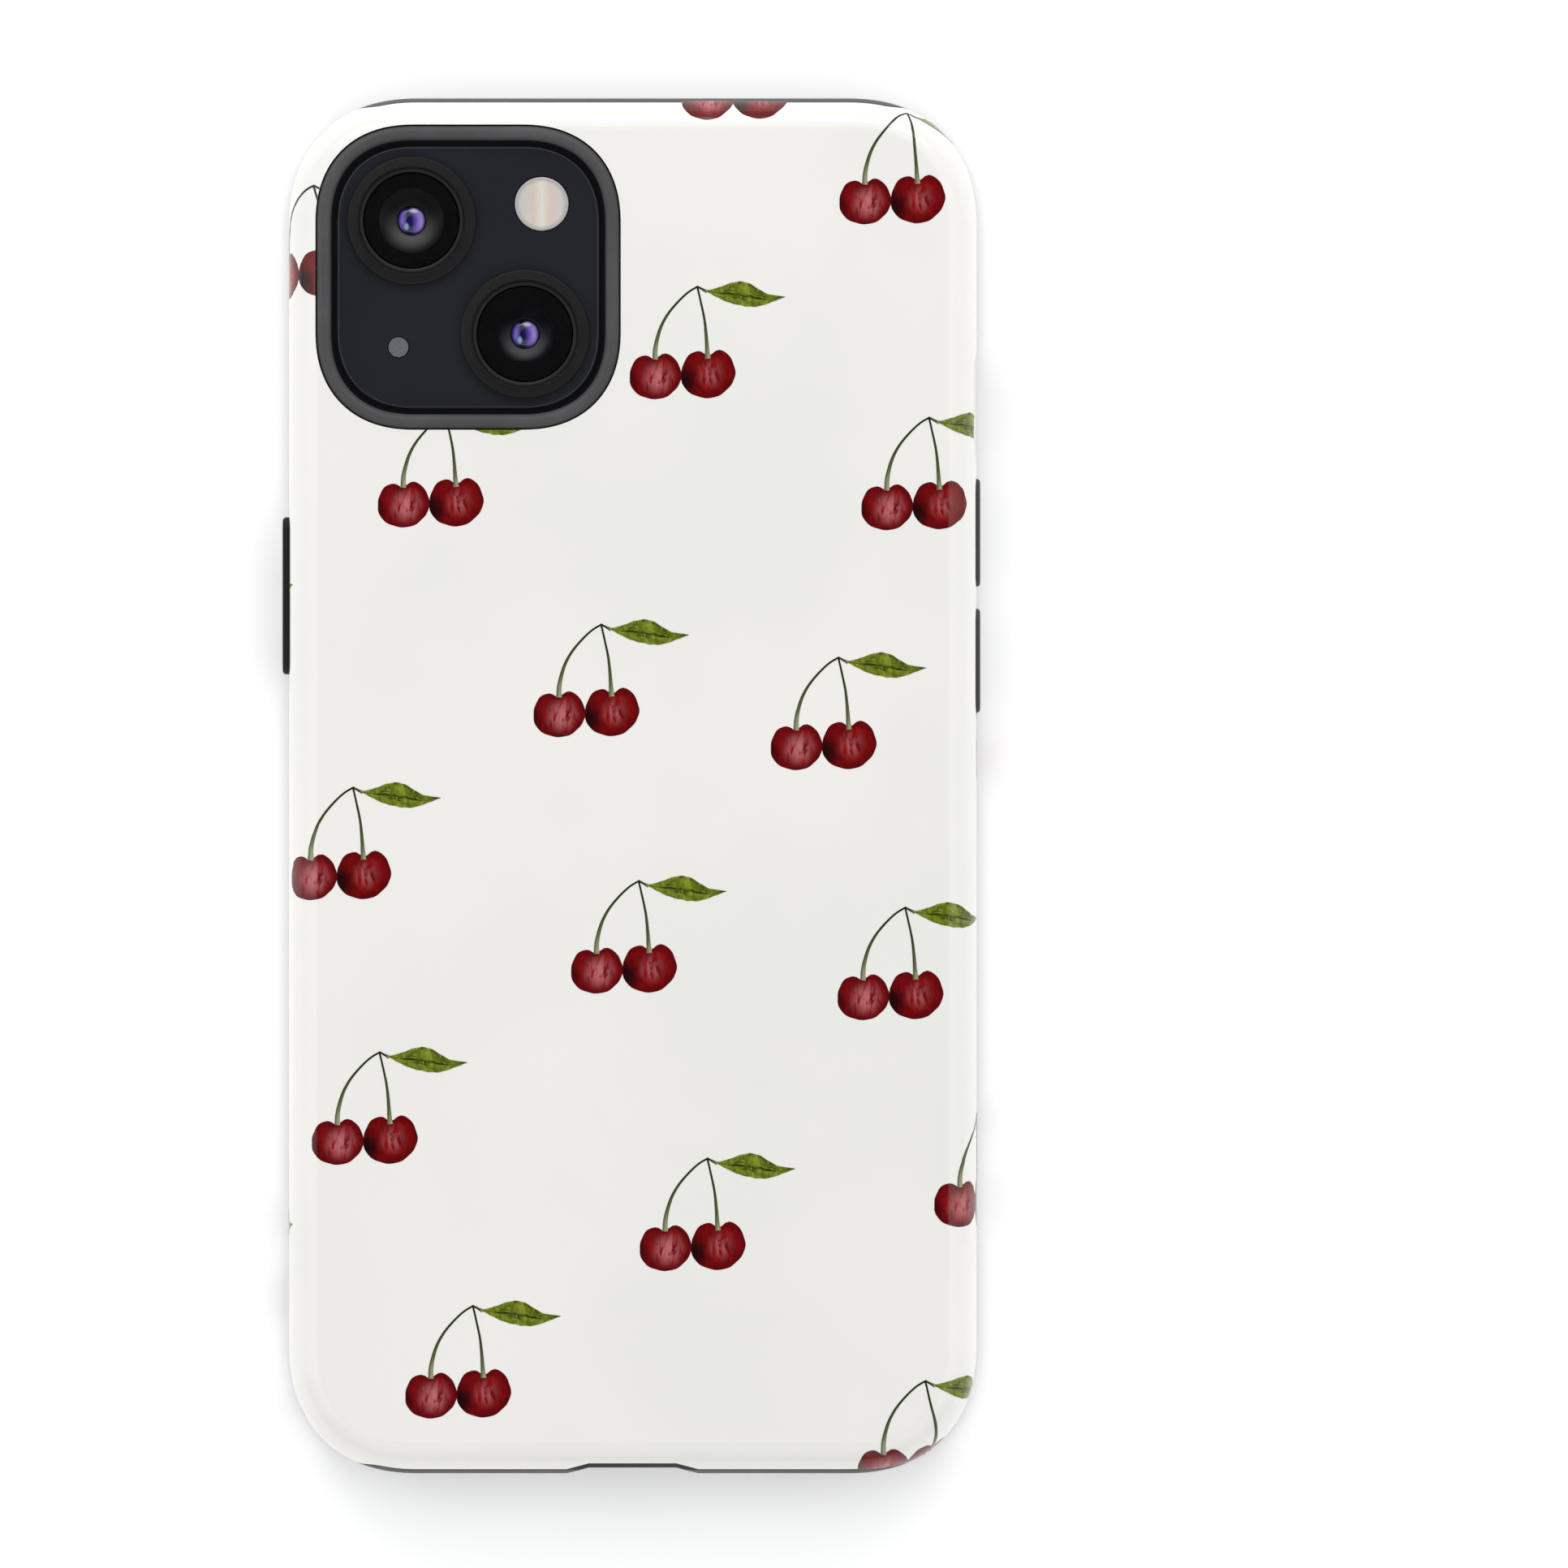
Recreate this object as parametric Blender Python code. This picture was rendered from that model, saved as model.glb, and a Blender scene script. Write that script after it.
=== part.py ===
"""A phone in a two-layer case, lying on the case's front lip with its back up.

+Z is up, out of the phone's back; +Y runs to the phone's top end, and +X to the side
with the volume keys. The origin is under the middle of the case, on the surface it lies on.
"""

import math

import bmesh
import bpy
from mathutils import Vector

MM = 0.001

# --- The phone's body
PHONE_LENGTH = 146.7 * MM
PHONE_WIDTH = 71.5 * MM
PHONE_DEPTH = 7.65 * MM
PHONE_CORNER = 12.4 * MM
BAND_WALL = 1.9 * MM
BAND_FRONT_EDGE = 0.45 * MM
BAND_BACK_EDGE = 0.6 * MM
GLASS_BORDER = 0.9 * MM  # the band's width beside each pane
GLASS_PROUD = 0.15 * MM  # how far each pane stands out of the band
PANE = 0.7 * MM
BACK_PLATE = 0.65 * MM
PANEL = 0.8 * MM
PANEL_BORDER = 2.2 * MM
SEAT_GAP = 0.1 * MM  # between pieces that are glued or screwed together
STACK_GAP = 0.15 * MM  # between the layers inside the phone
WALL_SPACE = 0.2 * MM  # between the band and what stands behind its openings

# --- The two layers of the case
LIP_RISE = 0.9 * MM  # how far the front lip stands proud of the display
LIP_COVER = 1.3 * MM  # how much of the display's edge the lip covers
FIT_GAP = 0.15 * MM  # phone to liner
LINER_WALL = 0.8 * MM
LINER_BACK = 0.75 * MM
LAYER_GAP = 0.15 * MM  # liner to shell
SHELL_WALL = 0.77 * MM
SHELL_BACK = 1.0 * MM
SHELL_ROUND = (3.6 * MM, 5.0 * MM)  # the back edge's quarter ellipse: across, down
SHELL_INNER_ROUND = (2.75 * MM, 3.75 * MM)
LINER_ROUND = (2.6 * MM, 3.6 * MM)
POCKET_ROUND = 1.0 * MM
LIP_ROUND = 0.7 * MM
SHELL_FRONT = 1.3 * MM  # height of the shell's front edge
SHELL_END_EDGE = 2.7 * MM  # how far the shell comes down over the two ends
END_TOP_INSET = 9.62 * MM  # from the case's side to the bare liner at each end, at its back edge
END_FOOT_INSET = 4.62 * MM  # and at its front edge
END_TOP_CURVE = ((1.3 * MM, -0.9 * MM), (0.5 * MM, -0.25 * MM), (-0.9 * MM, 0.0))
END_FOOT_CURVE = ((2.8 * MM, -0.2 * MM), (1.0 * MM, 0.25 * MM), (0.0, 0.9 * MM))
END_REACH = 12.0 * MM

# --- The camera corner
PLATEAU_SIDE = 28.75 * MM
PLATEAU_INSET = 3.425 * MM  # from the phone's side and top end
PLATEAU_CORNER = 8.6 * MM
PLATEAU_RISE = 1.2 * MM
PLATEAU_ROUND = 0.3 * MM
RIM_GAP = 0.6 * MM  # plateau to rim
RIM_WALL = 1.55 * MM
RIM_RISE = 0.3 * MM  # above the shell's back
RIM_ROUND = 0.55 * MM
LENS_RING_RADIUS = 7.0 * MM
LENS_RING_BAND = 1.7 * MM  # the ring's width
LENS_RING_RISE = 0.9 * MM
LENS_MARGIN = 1.175 * MM  # plateau's edge to ring
CONE_RADII = {"wide": 3.55 * MM, "ultrawide": 3.15 * MM}
PUPIL = 1.55 * MM
MODULE_SIDE = 11.5 * MM
FLASH_RADIUS = 2.95 * MM
FLASH_MARGIN = 3.4 * MM
MIC_RADIUS = 1.1 * MM
MIC_MARGIN = 5.65 * MM

# --- Keys in the phone's sides, and the pads over them in the case
KEY_WIDTH = 2.4 * MM
KEY_RISE = 0.25 * MM
KEY_REACH = 1.3 * MM  # how deep a key sits in the band
KEY_GAP = 0.1 * MM
PRESS = 0.3 * MM  # a key's travel
SWITCH_DEPTH = 0.95 * MM
PAD_WIDTH = 2.9 * MM
PAD_GAP = 0.2 * MM
PAD_ROUND = 0.3 * MM
SCOOP_WIDTH = 1.0 * MM
SCOOP_DEPTH = 0.35 * MM
VOLUME_UP = {"from_top": 45.65 * MM, "pad": 11.8 * MM, "key": 10.4 * MM, "rise": 0.4 * MM}
VOLUME_DOWN = {"from_top": 59.65 * MM, "pad": 11.4 * MM, "key": 10.4 * MM, "rise": 0.4 * MM}
POWER = {"from_top": 52.55 * MM, "pad": 17.2 * MM, "key": 15.6 * MM, "rise": 0.7 * MM}
RING_FROM_TOP = 32.2 * MM
RING_WINDOW = (5.4 * MM, 10.0 * MM)
RING_WINDOW_CORNER = 1.4 * MM
RING_SLOT = (2.3 * MM, 5.85 * MM)
RING_KNOB = (1.15 * MM, 5.65 * MM)
RING_THROW = 0.95 * MM
RING_KNOB_RISE = 0.3 * MM
RING_WINDOW_SHIFT = 0.45 * MM  # how far the window's middle is behind the slot's
KEY_LINE = 3.6 * MM  # from the phone's front to the middle of its keys

# --- The insulating strips in the band, which let the aerials work
STRIP_WIDTH = 1.1 * MM
STRIP_BORDER = 0.575 * MM  # from the strip's ends to the band's edges
STRIP_DEPTH = 0.8 * MM
STRIP_SPACE = 0.8 * MM  # from the phone's rounded corner to the strip's middle

# --- The bottom end
NOTCH_MOUTH = 7.3 * MM  # half widths of the hollow around the charging port
NOTCH_FLOOR = 4.8 * MM
NOTCH_DEPTH = 0.7 * MM
PORT_WINDOW = (12.6 * MM, 5.4 * MM)
PORT_MOUTH = (8.5 * MM, 2.8 * MM)
PORT_WALL = 0.6 * MM
PORT_DEPTH = 6.5 * MM
SCREW_RADIUS = 0.7 * MM
SCREW_FROM_PORT = 3.15 * MM  # port's mouth to the screw's middle
SOUND_FROM_SCREW = 3.1 * MM  # screw's middle to the slot beside it
SOUND_WIDTH = 2.4 * MM
SOUND_MESH = 0.4 * MM
SOUND_MESH_MARGIN = 0.3 * MM
SOUND_HOLE = 0.75 * MM
SOUND_PITCH = 2.4 * MM

# --- The tray for the card
TRAY_FROM_TOP = 89.35 * MM
TRAY_FACE = (2.2 * MM, 14.4 * MM)
TRAY_PLATE = (0.9 * MM, 13.2 * MM, 15.5 * MM)
CARD = (0.67 * MM, 12.3 * MM, 8.8 * MM)
READER = (2.6 * MM, 15.2 * MM)
READER_WALL = 0.6 * MM
READER_SPACE = 0.7 * MM  # behind the tray
READER_GAP = 0.175 * MM  # over the board

# --- What else the phone holds
BOARD_WIDTH = 21.0 * MM
BOARD_LENGTH = 92.0 * MM
BOARD_DEPTH = 0.6 * MM
BOARD_FROM_TOP = 9.35 * MM
SHIELD_MARGIN = 1.9 * MM  # inside the board's sides
SHIELD_LENGTH = 42.0 * MM
SHIELD_FROM_TOP = 13.35 * MM
SHIELD_DEPTH = 1.9 * MM
SIDE_SPACE = 1.8 * MM  # band to the battery and the board
CELL_SPACE = 2.1 * MM  # battery to board
BATTERY_LENGTH = 92.0 * MM
BATTERY_FROM_BOTTOM = 17.35 * MM
END_SPACE = 3.5 * MM  # band to what stands beside the charging port
PORT_SPACE = 3.2 * MM
HAPTIC_LENGTH = 10.0 * MM
SPEAKER_LENGTH = 11.0 * MM
BOTTOM_PARTS_FROM_END = 5.35 * MM
DOCK_SIZE = (14.0 * MM, 3.6 * MM)
DOCK_SPACE = 0.5 * MM
DOCK_DEPTH = 0.3 * MM
TOP_PARTS_FROM_END = 2.55 * MM
TOP_PARTS_LENGTH = 4.4 * MM
TOP_PARTS = {
    # name: width, distance of its middle from the phone's middle
    "earpiece_speaker": (10.0 * MM, 0.0),
    "front_camera": (4.0 * MM, 7.6 * MM),
    "face_sensor": (3.2 * MM, 11.6 * MM),
}
PART_HEADROOM = 0.6 * MM  # over the motor, the speakers and the front camera
DISPLAY_NOTCH = (26.8 * MM, 7.35 * MM)
EAR_SLOT = (9.0 * MM, 0.8 * MM)
EAR_SLOT_FROM_TOP = 2.95 * MM
COIL_RADII = (11.0 * MM, 21.5 * MM)
MAGNET_RADII = (23.2 * MM, 27.8 * MM)
COIL_DEPTH = 0.4 * MM
COIL_CENTRE = (0.0, -4.0 * MM)
BOARD_SCREW = {"shank": 0.5 * MM, "head": 1.1 * MM, "rise": 0.5 * MM, "inset": 1.6 * MM}

# --- How finely round shapes are divided
CORNER_STEPS = 8
SMALL_STEPS = 4
EDGE_STEPS = 4
TURN_STEPS = 28
CORNER_POWER = 2.3  # 2 is a circular corner; more runs into the straights more softly

# --- Heights that follow from the sizes above
PHONE_FRONT = LIP_RISE
PHONE_BACK = PHONE_FRONT + PHONE_DEPTH
BAND_MIDDLE = (PHONE_FRONT + PHONE_BACK) / 2
BAND_LOW = PHONE_FRONT + GLASS_PROUD
BAND_HIGH = PHONE_BACK - GLASS_PROUD
DISPLAY_SEAT = PHONE_FRONT + PANE + SEAT_GAP
BACK_SEAT = PHONE_BACK - PANE - SEAT_GAP
PLATE_INNER = BACK_SEAT - BACK_PLATE
PANEL_LOW = PHONE_FRONT + PANE + SEAT_GAP
INSIDE_LOW = PANEL_LOW + PANEL + STACK_GAP
INSIDE_HIGH = PLATE_INNER - STACK_GAP
LINER_TOP = PHONE_BACK + FIT_GAP + LINER_BACK
CASE_BACK = LINER_TOP + LAYER_GAP + SHELL_BACK
RIM_TOP = CASE_BACK + RIM_RISE
PLATEAU_LOW = PHONE_BACK + SEAT_GAP
PLATEAU_TOP = PHONE_BACK + PLATEAU_RISE
BATTERY_TOP = INSIDE_HIGH - COIL_DEPTH - STACK_GAP
BOARD_TOP = INSIDE_LOW + BOARD_DEPTH
PART_TOP = INSIDE_HIGH - PART_HEADROOM

# --- Widths that follow
CASE_WALL = FIT_GAP + LINER_WALL + LAYER_GAP + SHELL_WALL
CASE_WIDTH = PHONE_WIDTH + 2 * CASE_WALL
CASE_LENGTH = PHONE_LENGTH + 2 * CASE_WALL
CASE_CORNER = PHONE_CORNER + CASE_WALL
END_EDGE = CASE_BACK - SHELL_END_EDGE
TOP_END = PHONE_LENGTH / 2
BOTTOM_END = -PHONE_LENGTH / 2
INNER_HALF = PHONE_WIDTH / 2 - BAND_WALL
BEHIND_BAND = BAND_WALL + WALL_SPACE
STRIP_SIZE = (BAND_HIGH - BAND_LOW - 2 * STRIP_BORDER, STRIP_WIDTH)
RIM_SIDE = PLATEAU_SIDE + 2 * (RIM_GAP + RIM_WALL)
RIM_CORNER = PLATEAU_CORNER + RIM_GAP + RIM_WALL
LENS_BORE = LENS_RING_RADIUS - LENS_RING_BAND
CAMERA_CENTRE = (
    -(PHONE_WIDTH / 2 - PLATEAU_INSET - PLATEAU_SIDE / 2),
    TOP_END - PLATEAU_INSET - PLATEAU_SIDE / 2,
)


def in_camera_corner(right, up, radius, margin):
    """The centre of a round piece, set in from a corner of the plateau by margin both ways."""
    offset = PLATEAU_SIDE / 2 - margin - radius
    return (CAMERA_CENTRE[0] + right * offset, CAMERA_CENTRE[1] + up * offset)


LENS_CENTRES = {
    "wide": in_camera_corner(-1, 1, LENS_RING_RADIUS, LENS_MARGIN),
    "ultrawide": in_camera_corner(1, -1, LENS_RING_RADIUS, LENS_MARGIN),
}
FLASH_CENTRE = in_camera_corner(1, 1, FLASH_RADIUS, FLASH_MARGIN)
MIC_CENTRE = in_camera_corner(-1, -1, MIC_RADIUS, MIC_MARGIN)

PORT_BODY = (PORT_MOUTH[0] + 2 * PORT_WALL, PORT_MOUTH[1] + 2 * PORT_WALL)
BOTTOM_SCREW_ALONG = PORT_MOUTH[0] / 2 + SCREW_FROM_PORT
SOUND_START = BOTTOM_SCREW_ALONG + SOUND_FROM_SCREW
SOUND_END = PHONE_WIDTH / 2 - PHONE_CORNER
SOUND_MIDDLE = (SOUND_START + SOUND_END) / 2
SOUND_WINDOW = (SOUND_END - SOUND_START, SOUND_WIDTH)
SOUND_HOLES = int(SOUND_WINDOW[0] / SOUND_PITCH)

MATERIALS = {
    # name: colour, roughness, metallic
    "shell_gloss": ((0.87, 0.86, 0.82), 0.12, 0.0),
    "liner_rubber": ((0.045, 0.045, 0.047), 0.55, 0.0),
    "pad_rubber": ((0.085, 0.09, 0.095), 0.5, 0.0),
    "band_metal": ((0.04, 0.045, 0.05), 0.35, 1.0),
    "back_glass": ((0.012, 0.012, 0.018), 0.08, 0.0),
    "display_glass": ((0.004, 0.004, 0.005), 0.04, 0.0),
    "lens_glass": ((0.02, 0.02, 0.025), 0.02, 0.0),
    "lens_coating": ((0.10, 0.05, 0.30), 0.05, 0.0),
    "black_plastic": ((0.01, 0.01, 0.011), 0.4, 0.0),
    "flash_diffuser": ((0.75, 0.66, 0.60), 0.35, 0.0),
    "circuit_board": ((0.01, 0.03, 0.05), 0.5, 0.0),
    "steel": ((0.55, 0.55, 0.56), 0.3, 1.0),
    "copper": ((0.70, 0.33, 0.15), 0.35, 1.0),
    "magnet": ((0.30, 0.30, 0.31), 0.4, 1.0),
    "battery_wrap": ((0.02, 0.02, 0.022), 0.6, 0.0),
    "card_plastic": ((0.85, 0.85, 0.85), 0.4, 0.0),
}


def clear_scene():
    for obj in list(bpy.data.objects):
        bpy.data.objects.remove(obj)


def material(name):
    """The Principled material of that name, made once."""
    made = bpy.data.materials.get(name)
    if made is None:
        colour, roughness, metallic = MATERIALS[name]
        made = bpy.data.materials.new(name)
        made.use_nodes = True
        shader = made.node_tree.nodes["Principled BSDF"]
        shader.inputs["Base Color"].default_value = (*colour, 1)
        shader.inputs["Roughness"].default_value = roughness
        shader.inputs["Metallic"].default_value = metallic
    return made


def add_object(name, bm, finish):
    mesh = bpy.data.meshes.new(name)
    bmesh.ops.recalc_face_normals(bm, faces=bm.faces)
    bm.to_mesh(mesh)
    bm.free()
    obj = bpy.data.objects.new(name, mesh)
    bpy.context.scene.collection.objects.link(obj)
    if finish:
        mesh.materials.append(material(finish))
        mesh.shade_smooth()
        mesh.set_sharp_from_angle(angle=math.radians(35))
    else:  # a cutter or another helper
        obj.hide_render = True
        obj.display_type = "WIRE"
    return obj


def frame_empty(name, location, turn=(0, 0, 0)):
    """An empty that pieces hang from. Its +Z points out of the side that it stands on."""
    empty = bpy.data.objects.new(name, None)
    empty.location = location
    empty.rotation_euler = [math.radians(angle) for angle in turn]
    bpy.context.scene.collection.objects.link(empty)
    return empty


def hang(parent, *pieces):
    for piece in pieces:
        piece.parent = parent


def rounded(width, length, corner, steps=CORNER_STEPS, power=CORNER_POWER):
    """Points of a rounded rectangle, anticlockwise from its right side."""
    turns = ((1, 1), (-1, 1), (-1, -1), (1, -1))
    points = []
    for quarter, (right, up) in enumerate(turns):
        across = width / 2 - corner
        along = length / 2 - corner
        for step in range(steps + 1):
            angle = math.pi / 2 * step / steps
            reach = Vector((abs(math.cos(angle)), abs(math.sin(angle))))
            if quarter % 2:
                reach = reach.yx
            reach = Vector([max(side, 0) ** (2 / power) for side in reach])
            points.append((right * (across + corner * reach.x), up * (along + corner * reach.y)))
        straight = along if quarter % 2 else across
        if straight < 1e-6:
            points.pop()  # the next quarter starts where this one ends
    return points


def side_profile(low, high, foot=(0, 0), crown=(0, 0)):
    """(inset, height) up a side whose two edges are quarter ellipses, each (across, up)."""
    profile = []
    for step in range(EDGE_STEPS + 1 if foot[0] else 1):
        angle = math.pi / 2 * step / EDGE_STEPS
        profile.append((foot[0] * (1 - math.sin(angle)), low + foot[1] * (1 - math.cos(angle))))
    for step in range(EDGE_STEPS + 1 if crown[0] else 1):
        angle = math.pi / 2 * step / EDGE_STEPS
        profile.append((crown[0] * (1 - math.cos(angle)), high - crown[1] * (1 - math.sin(angle))))
    return profile


def stacked(name, loops, finish=None, ring=False):
    """A solid through loops of equal count, each (height, points). A ring closes on its first loop."""
    bm = bmesh.new()
    rows = [[bm.verts.new((x, y, height)) for x, y in points] for height, points in loops]
    pairs = list(zip(rows, rows[1:] + rows[:1])) if ring else list(zip(rows, rows[1:]))
    for low, high in pairs:
        for here in range(len(low)):
            there = (here + 1) % len(low)
            bm.faces.new((low[here], low[there], high[there], high[here]))
    if not ring:
        bm.faces.new(rows[0])
        bm.faces.new(rows[-1])
    return add_object(name, bm, finish)


def plate(name, size, corner, low, high, finish=None, foot=0, crown=0, **division):
    """A rounded rectangle from one height to another, its edges rounded by foot and crown."""
    width, length = size
    foot = foot if isinstance(foot, tuple) else (foot, foot)
    crown = crown if isinstance(crown, tuple) else (crown, crown)
    loops = []
    for inset, height in side_profile(low, high, foot, crown):
        outline = rounded(width - 2 * inset, length - 2 * inset, corner - inset, **division)
        loops.append((height, outline))
    return stacked(name, loops, finish)


def oblong(name, size, low, high, finish=None, crown=0):
    """A plate with half-round ends."""
    return plate(name, size, min(size) / 2, low, high, finish, crown=crown, steps=SMALL_STEPS, power=2)


def block(name, x_span, y_span, low, high, finish, corner=0.8 * MM):
    """A box-shaped component with small rounded corners between two values of x and of y."""
    size = (x_span[1] - x_span[0], y_span[1] - y_span[0])
    piece = plate(name, size, corner, low, high, finish, steps=2, power=2)
    return at(piece, (sum(x_span) / 2, sum(y_span) / 2))


def prism(name, points, low, high, finish=None):
    return stacked(name, [(low, points), (high, points)], finish)


def turned(name, profile, finish=None, steps=TURN_STEPS):
    """A solid turned about Z from (radius, height) points. Those on the axis close it."""
    bm = bmesh.new()
    corners = [bm.verts.new((radius, 0, height)) for radius, height in profile]
    edges = [bm.edges.new(pair) for pair in zip(corners, corners[1:])]
    if profile[0][0] > 0:
        edges.append(bm.edges.new((corners[-1], corners[0])))
    bmesh.ops.spin(
        bm,
        geom=corners + edges,
        cent=(0, 0, 0),
        axis=(0, 0, 1),
        angle=2 * math.pi,
        steps=steps,
        use_merge=True,
    )
    bmesh.ops.remove_doubles(bm, verts=bm.verts, dist=1e-7)
    return add_object(name, bm, finish)


def disc(name, radius, low, high, finish=None, steps=TURN_STEPS):
    return turned(name, [(0, low), (radius, low), (radius, high), (0, high)], finish, steps)


def combine(obj, operation, *others):
    for other in others:
        modifier = obj.modifiers.new(other.name, "BOOLEAN")
        modifier.operation = operation
        modifier.solver = "EXACT"
        modifier.object = other


def cut(obj, *cutters):
    combine(obj, "DIFFERENCE", *cutters)


def join(obj, *others):
    combine(obj, "UNION", *others)


def at(obj, place, height=0):
    obj.location = (*place, height)
    return obj


# --- The case


def end_blocks(name, gap):
    """The two spaces that the bare liner fills at the ends, as prisms along Y."""
    foot = CASE_WIDTH / 2 - END_FOOT_INSET
    top = CASE_WIDTH / 2 - END_TOP_INSET
    right = [(foot + across, SHELL_FRONT + up) for across, up in END_FOOT_CURVE]
    right += [(top + across, END_EDGE + up) for across, up in END_TOP_CURVE]
    right.insert(0, (right[0][0], -LIP_RISE))
    right = [(x - gap, z - gap) for x, z in right]
    outline = right + [(-x, z) for x, z in reversed(right)]
    near = CASE_LENGTH / 2 - END_REACH + gap
    far = CASE_LENGTH / 2 + END_REACH
    blocks = []
    for end, (low, high) in {"bottom": (near, far), "top": (-far, -near)}.items():
        made = prism(f"{name}_{end}", outline, low, high)
        made.rotation_euler = (math.pi / 2, 0, 0)
        blocks.append(made)
    return blocks


def case_layer(name, inset, low, high, finish=None, **edges):
    size = (CASE_WIDTH - 2 * inset, CASE_LENGTH - 2 * inset)
    return plate(name, size, CASE_CORNER - inset, low, high, finish, **edges)


def rim_outline(grow):
    return rounded(RIM_SIDE + 2 * grow, RIM_SIDE + 2 * grow, RIM_CORNER + grow)


def make_shell():
    """The hard printed shell, which clips over the liner."""
    shell = case_layer("outer_shell", 0, SHELL_FRONT, CASE_BACK, "shell_gloss", crown=SHELL_ROUND)
    hollow = case_layer(
        "shell_hollow", SHELL_WALL, -1 * MM, CASE_BACK - SHELL_BACK, crown=SHELL_INNER_ROUND
    )
    outline = rim_outline(LAYER_GAP)
    window = at(prism("shell_camera_window", outline, PHONE_BACK, RIM_TOP + 1 * MM), CAMERA_CENTRE)
    cut(shell, hollow, window, *end_blocks("shell_end", 0))
    return shell


def make_liner():
    """The soft liner: a tray round the phone with a front lip, bare ends and a camera rim."""
    liner = case_layer("inner_liner", 0, 0, CASE_BACK, "liner_rubber", foot=LIP_ROUND, crown=SHELL_ROUND)
    inset = SHELL_WALL + LAYER_GAP
    under_shell = case_layer("liner_under_shell", inset, -1 * MM, LINER_TOP, crown=LINER_ROUND)
    shell_space = case_layer("shell_space", -2 * MM, SHELL_FRONT - LAYER_GAP, CASE_BACK + 2 * MM)
    cut(shell_space, under_shell, *end_blocks("liner_end", LAYER_GAP))
    pocket = plate(
        "liner_pocket",
        (PHONE_WIDTH + 2 * FIT_GAP, PHONE_LENGTH + 2 * FIT_GAP),
        PHONE_CORNER + FIT_GAP,
        PHONE_FRONT - FIT_GAP,
        PHONE_BACK + FIT_GAP,
        foot=BAND_FRONT_EDGE,
        crown=POCKET_ROUND,
    )
    window = plate(
        "liner_window",
        (PHONE_WIDTH - 2 * LIP_COVER, PHONE_LENGTH - 2 * LIP_COVER),
        PHONE_CORNER - LIP_COVER,
        -1 * MM,
        2 * MM,
    )
    hole = prism("liner_camera_hole", rim_outline(-RIM_WALL / 2), BAND_MIDDLE, RIM_TOP + 1 * MM)
    cut(liner, shell_space, pocket, window, at(hole, CAMERA_CENTRE))
    return liner


def add_rim(liner):
    """The raised ring round the cameras, with both its crests rounded."""
    outer = side_profile(LINER_TOP - LINER_BACK / 2, RIM_TOP, crown=(RIM_ROUND, RIM_ROUND))
    inner = [(RIM_WALL - inset, height) for inset, height in reversed(outer)]
    loops = [(height, rim_outline(-inset)) for inset, height in outer + inner]
    join(liner, at(stacked("camera_rim", loops, ring=True), CAMERA_CENTRE))


# --- Keys, pads and what else is in the sides


def side_frame(name, side, along, height=BAND_MIDDLE):
    """An empty on the phone's side face: +Z out, and Y along the phone's length."""
    if side == "bottom":
        return frame_empty(name, (along, -PHONE_LENGTH / 2, BAND_MIDDLE), (90, 0, 0))
    sign = 1 if side == "right" else -1
    return frame_empty(name, (sign * PHONE_WIDTH / 2, along, height), (0, 90 * sign, 0))


def scoop(name, size, corner, steps, power):
    """The shallow dish that leads a fingertip into an opening in the shell."""
    loops = []
    for step in range(EDGE_STEPS):
        share = step / (EDGE_STEPS - 1)
        grow = SCOOP_WIDTH * share
        height = CASE_WALL - SCOOP_DEPTH * (1 - share**2)
        loops.append((height, rounded(size[0] + 2 * grow, size[1] + 2 * grow, corner + grow, steps, power)))
    loops.append((CASE_WALL + 1 * MM, loops[-1][1]))
    return stacked(name, loops)


def make_key(name, side, place, band, shell, liner):
    """A metal key in the band with its switch, and the rubber pad over it."""
    root = side_frame(f"{name}_axis", side, TOP_END - place["from_top"], PHONE_FRONT + KEY_LINE)
    key = oblong(f"{name}_key", (KEY_WIDTH, place["key"]), -KEY_REACH, KEY_RISE, "band_metal", 0.12 * MM)
    low = KEY_RISE + SEAT_GAP
    high = CASE_WALL + place["rise"]
    pad = oblong(f"{name}_pad", (PAD_WIDTH, place["pad"]), low, high, "pad_rubber", PAD_ROUND)
    top = -KEY_REACH - PRESS - SEAT_GAP / 2
    switch = plate(
        f"{name}_switch", (1.9 * MM, 4.2 * MM), 0.5 * MM, top - SWITCH_DEPTH, top, "steel", steps=2
    )
    slot = oblong(
        f"{name}_slot", (KEY_WIDTH + 2 * KEY_GAP, place["key"] + 2 * KEY_GAP), -3 * MM, 1 * MM
    )
    opening = (PAD_WIDTH + 2 * PAD_GAP, place["pad"] + 2 * PAD_GAP)
    hole = oblong(f"{name}_hole", opening, 0, 4 * MM)
    dish = scoop(f"{name}_scoop", opening, opening[0] / 2, SMALL_STEPS, 2)
    hang(root, key, pad, switch, slot, hole, dish)
    cut(band, slot)
    cut(liner, hole)
    cut(shell, hole, dish)


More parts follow.
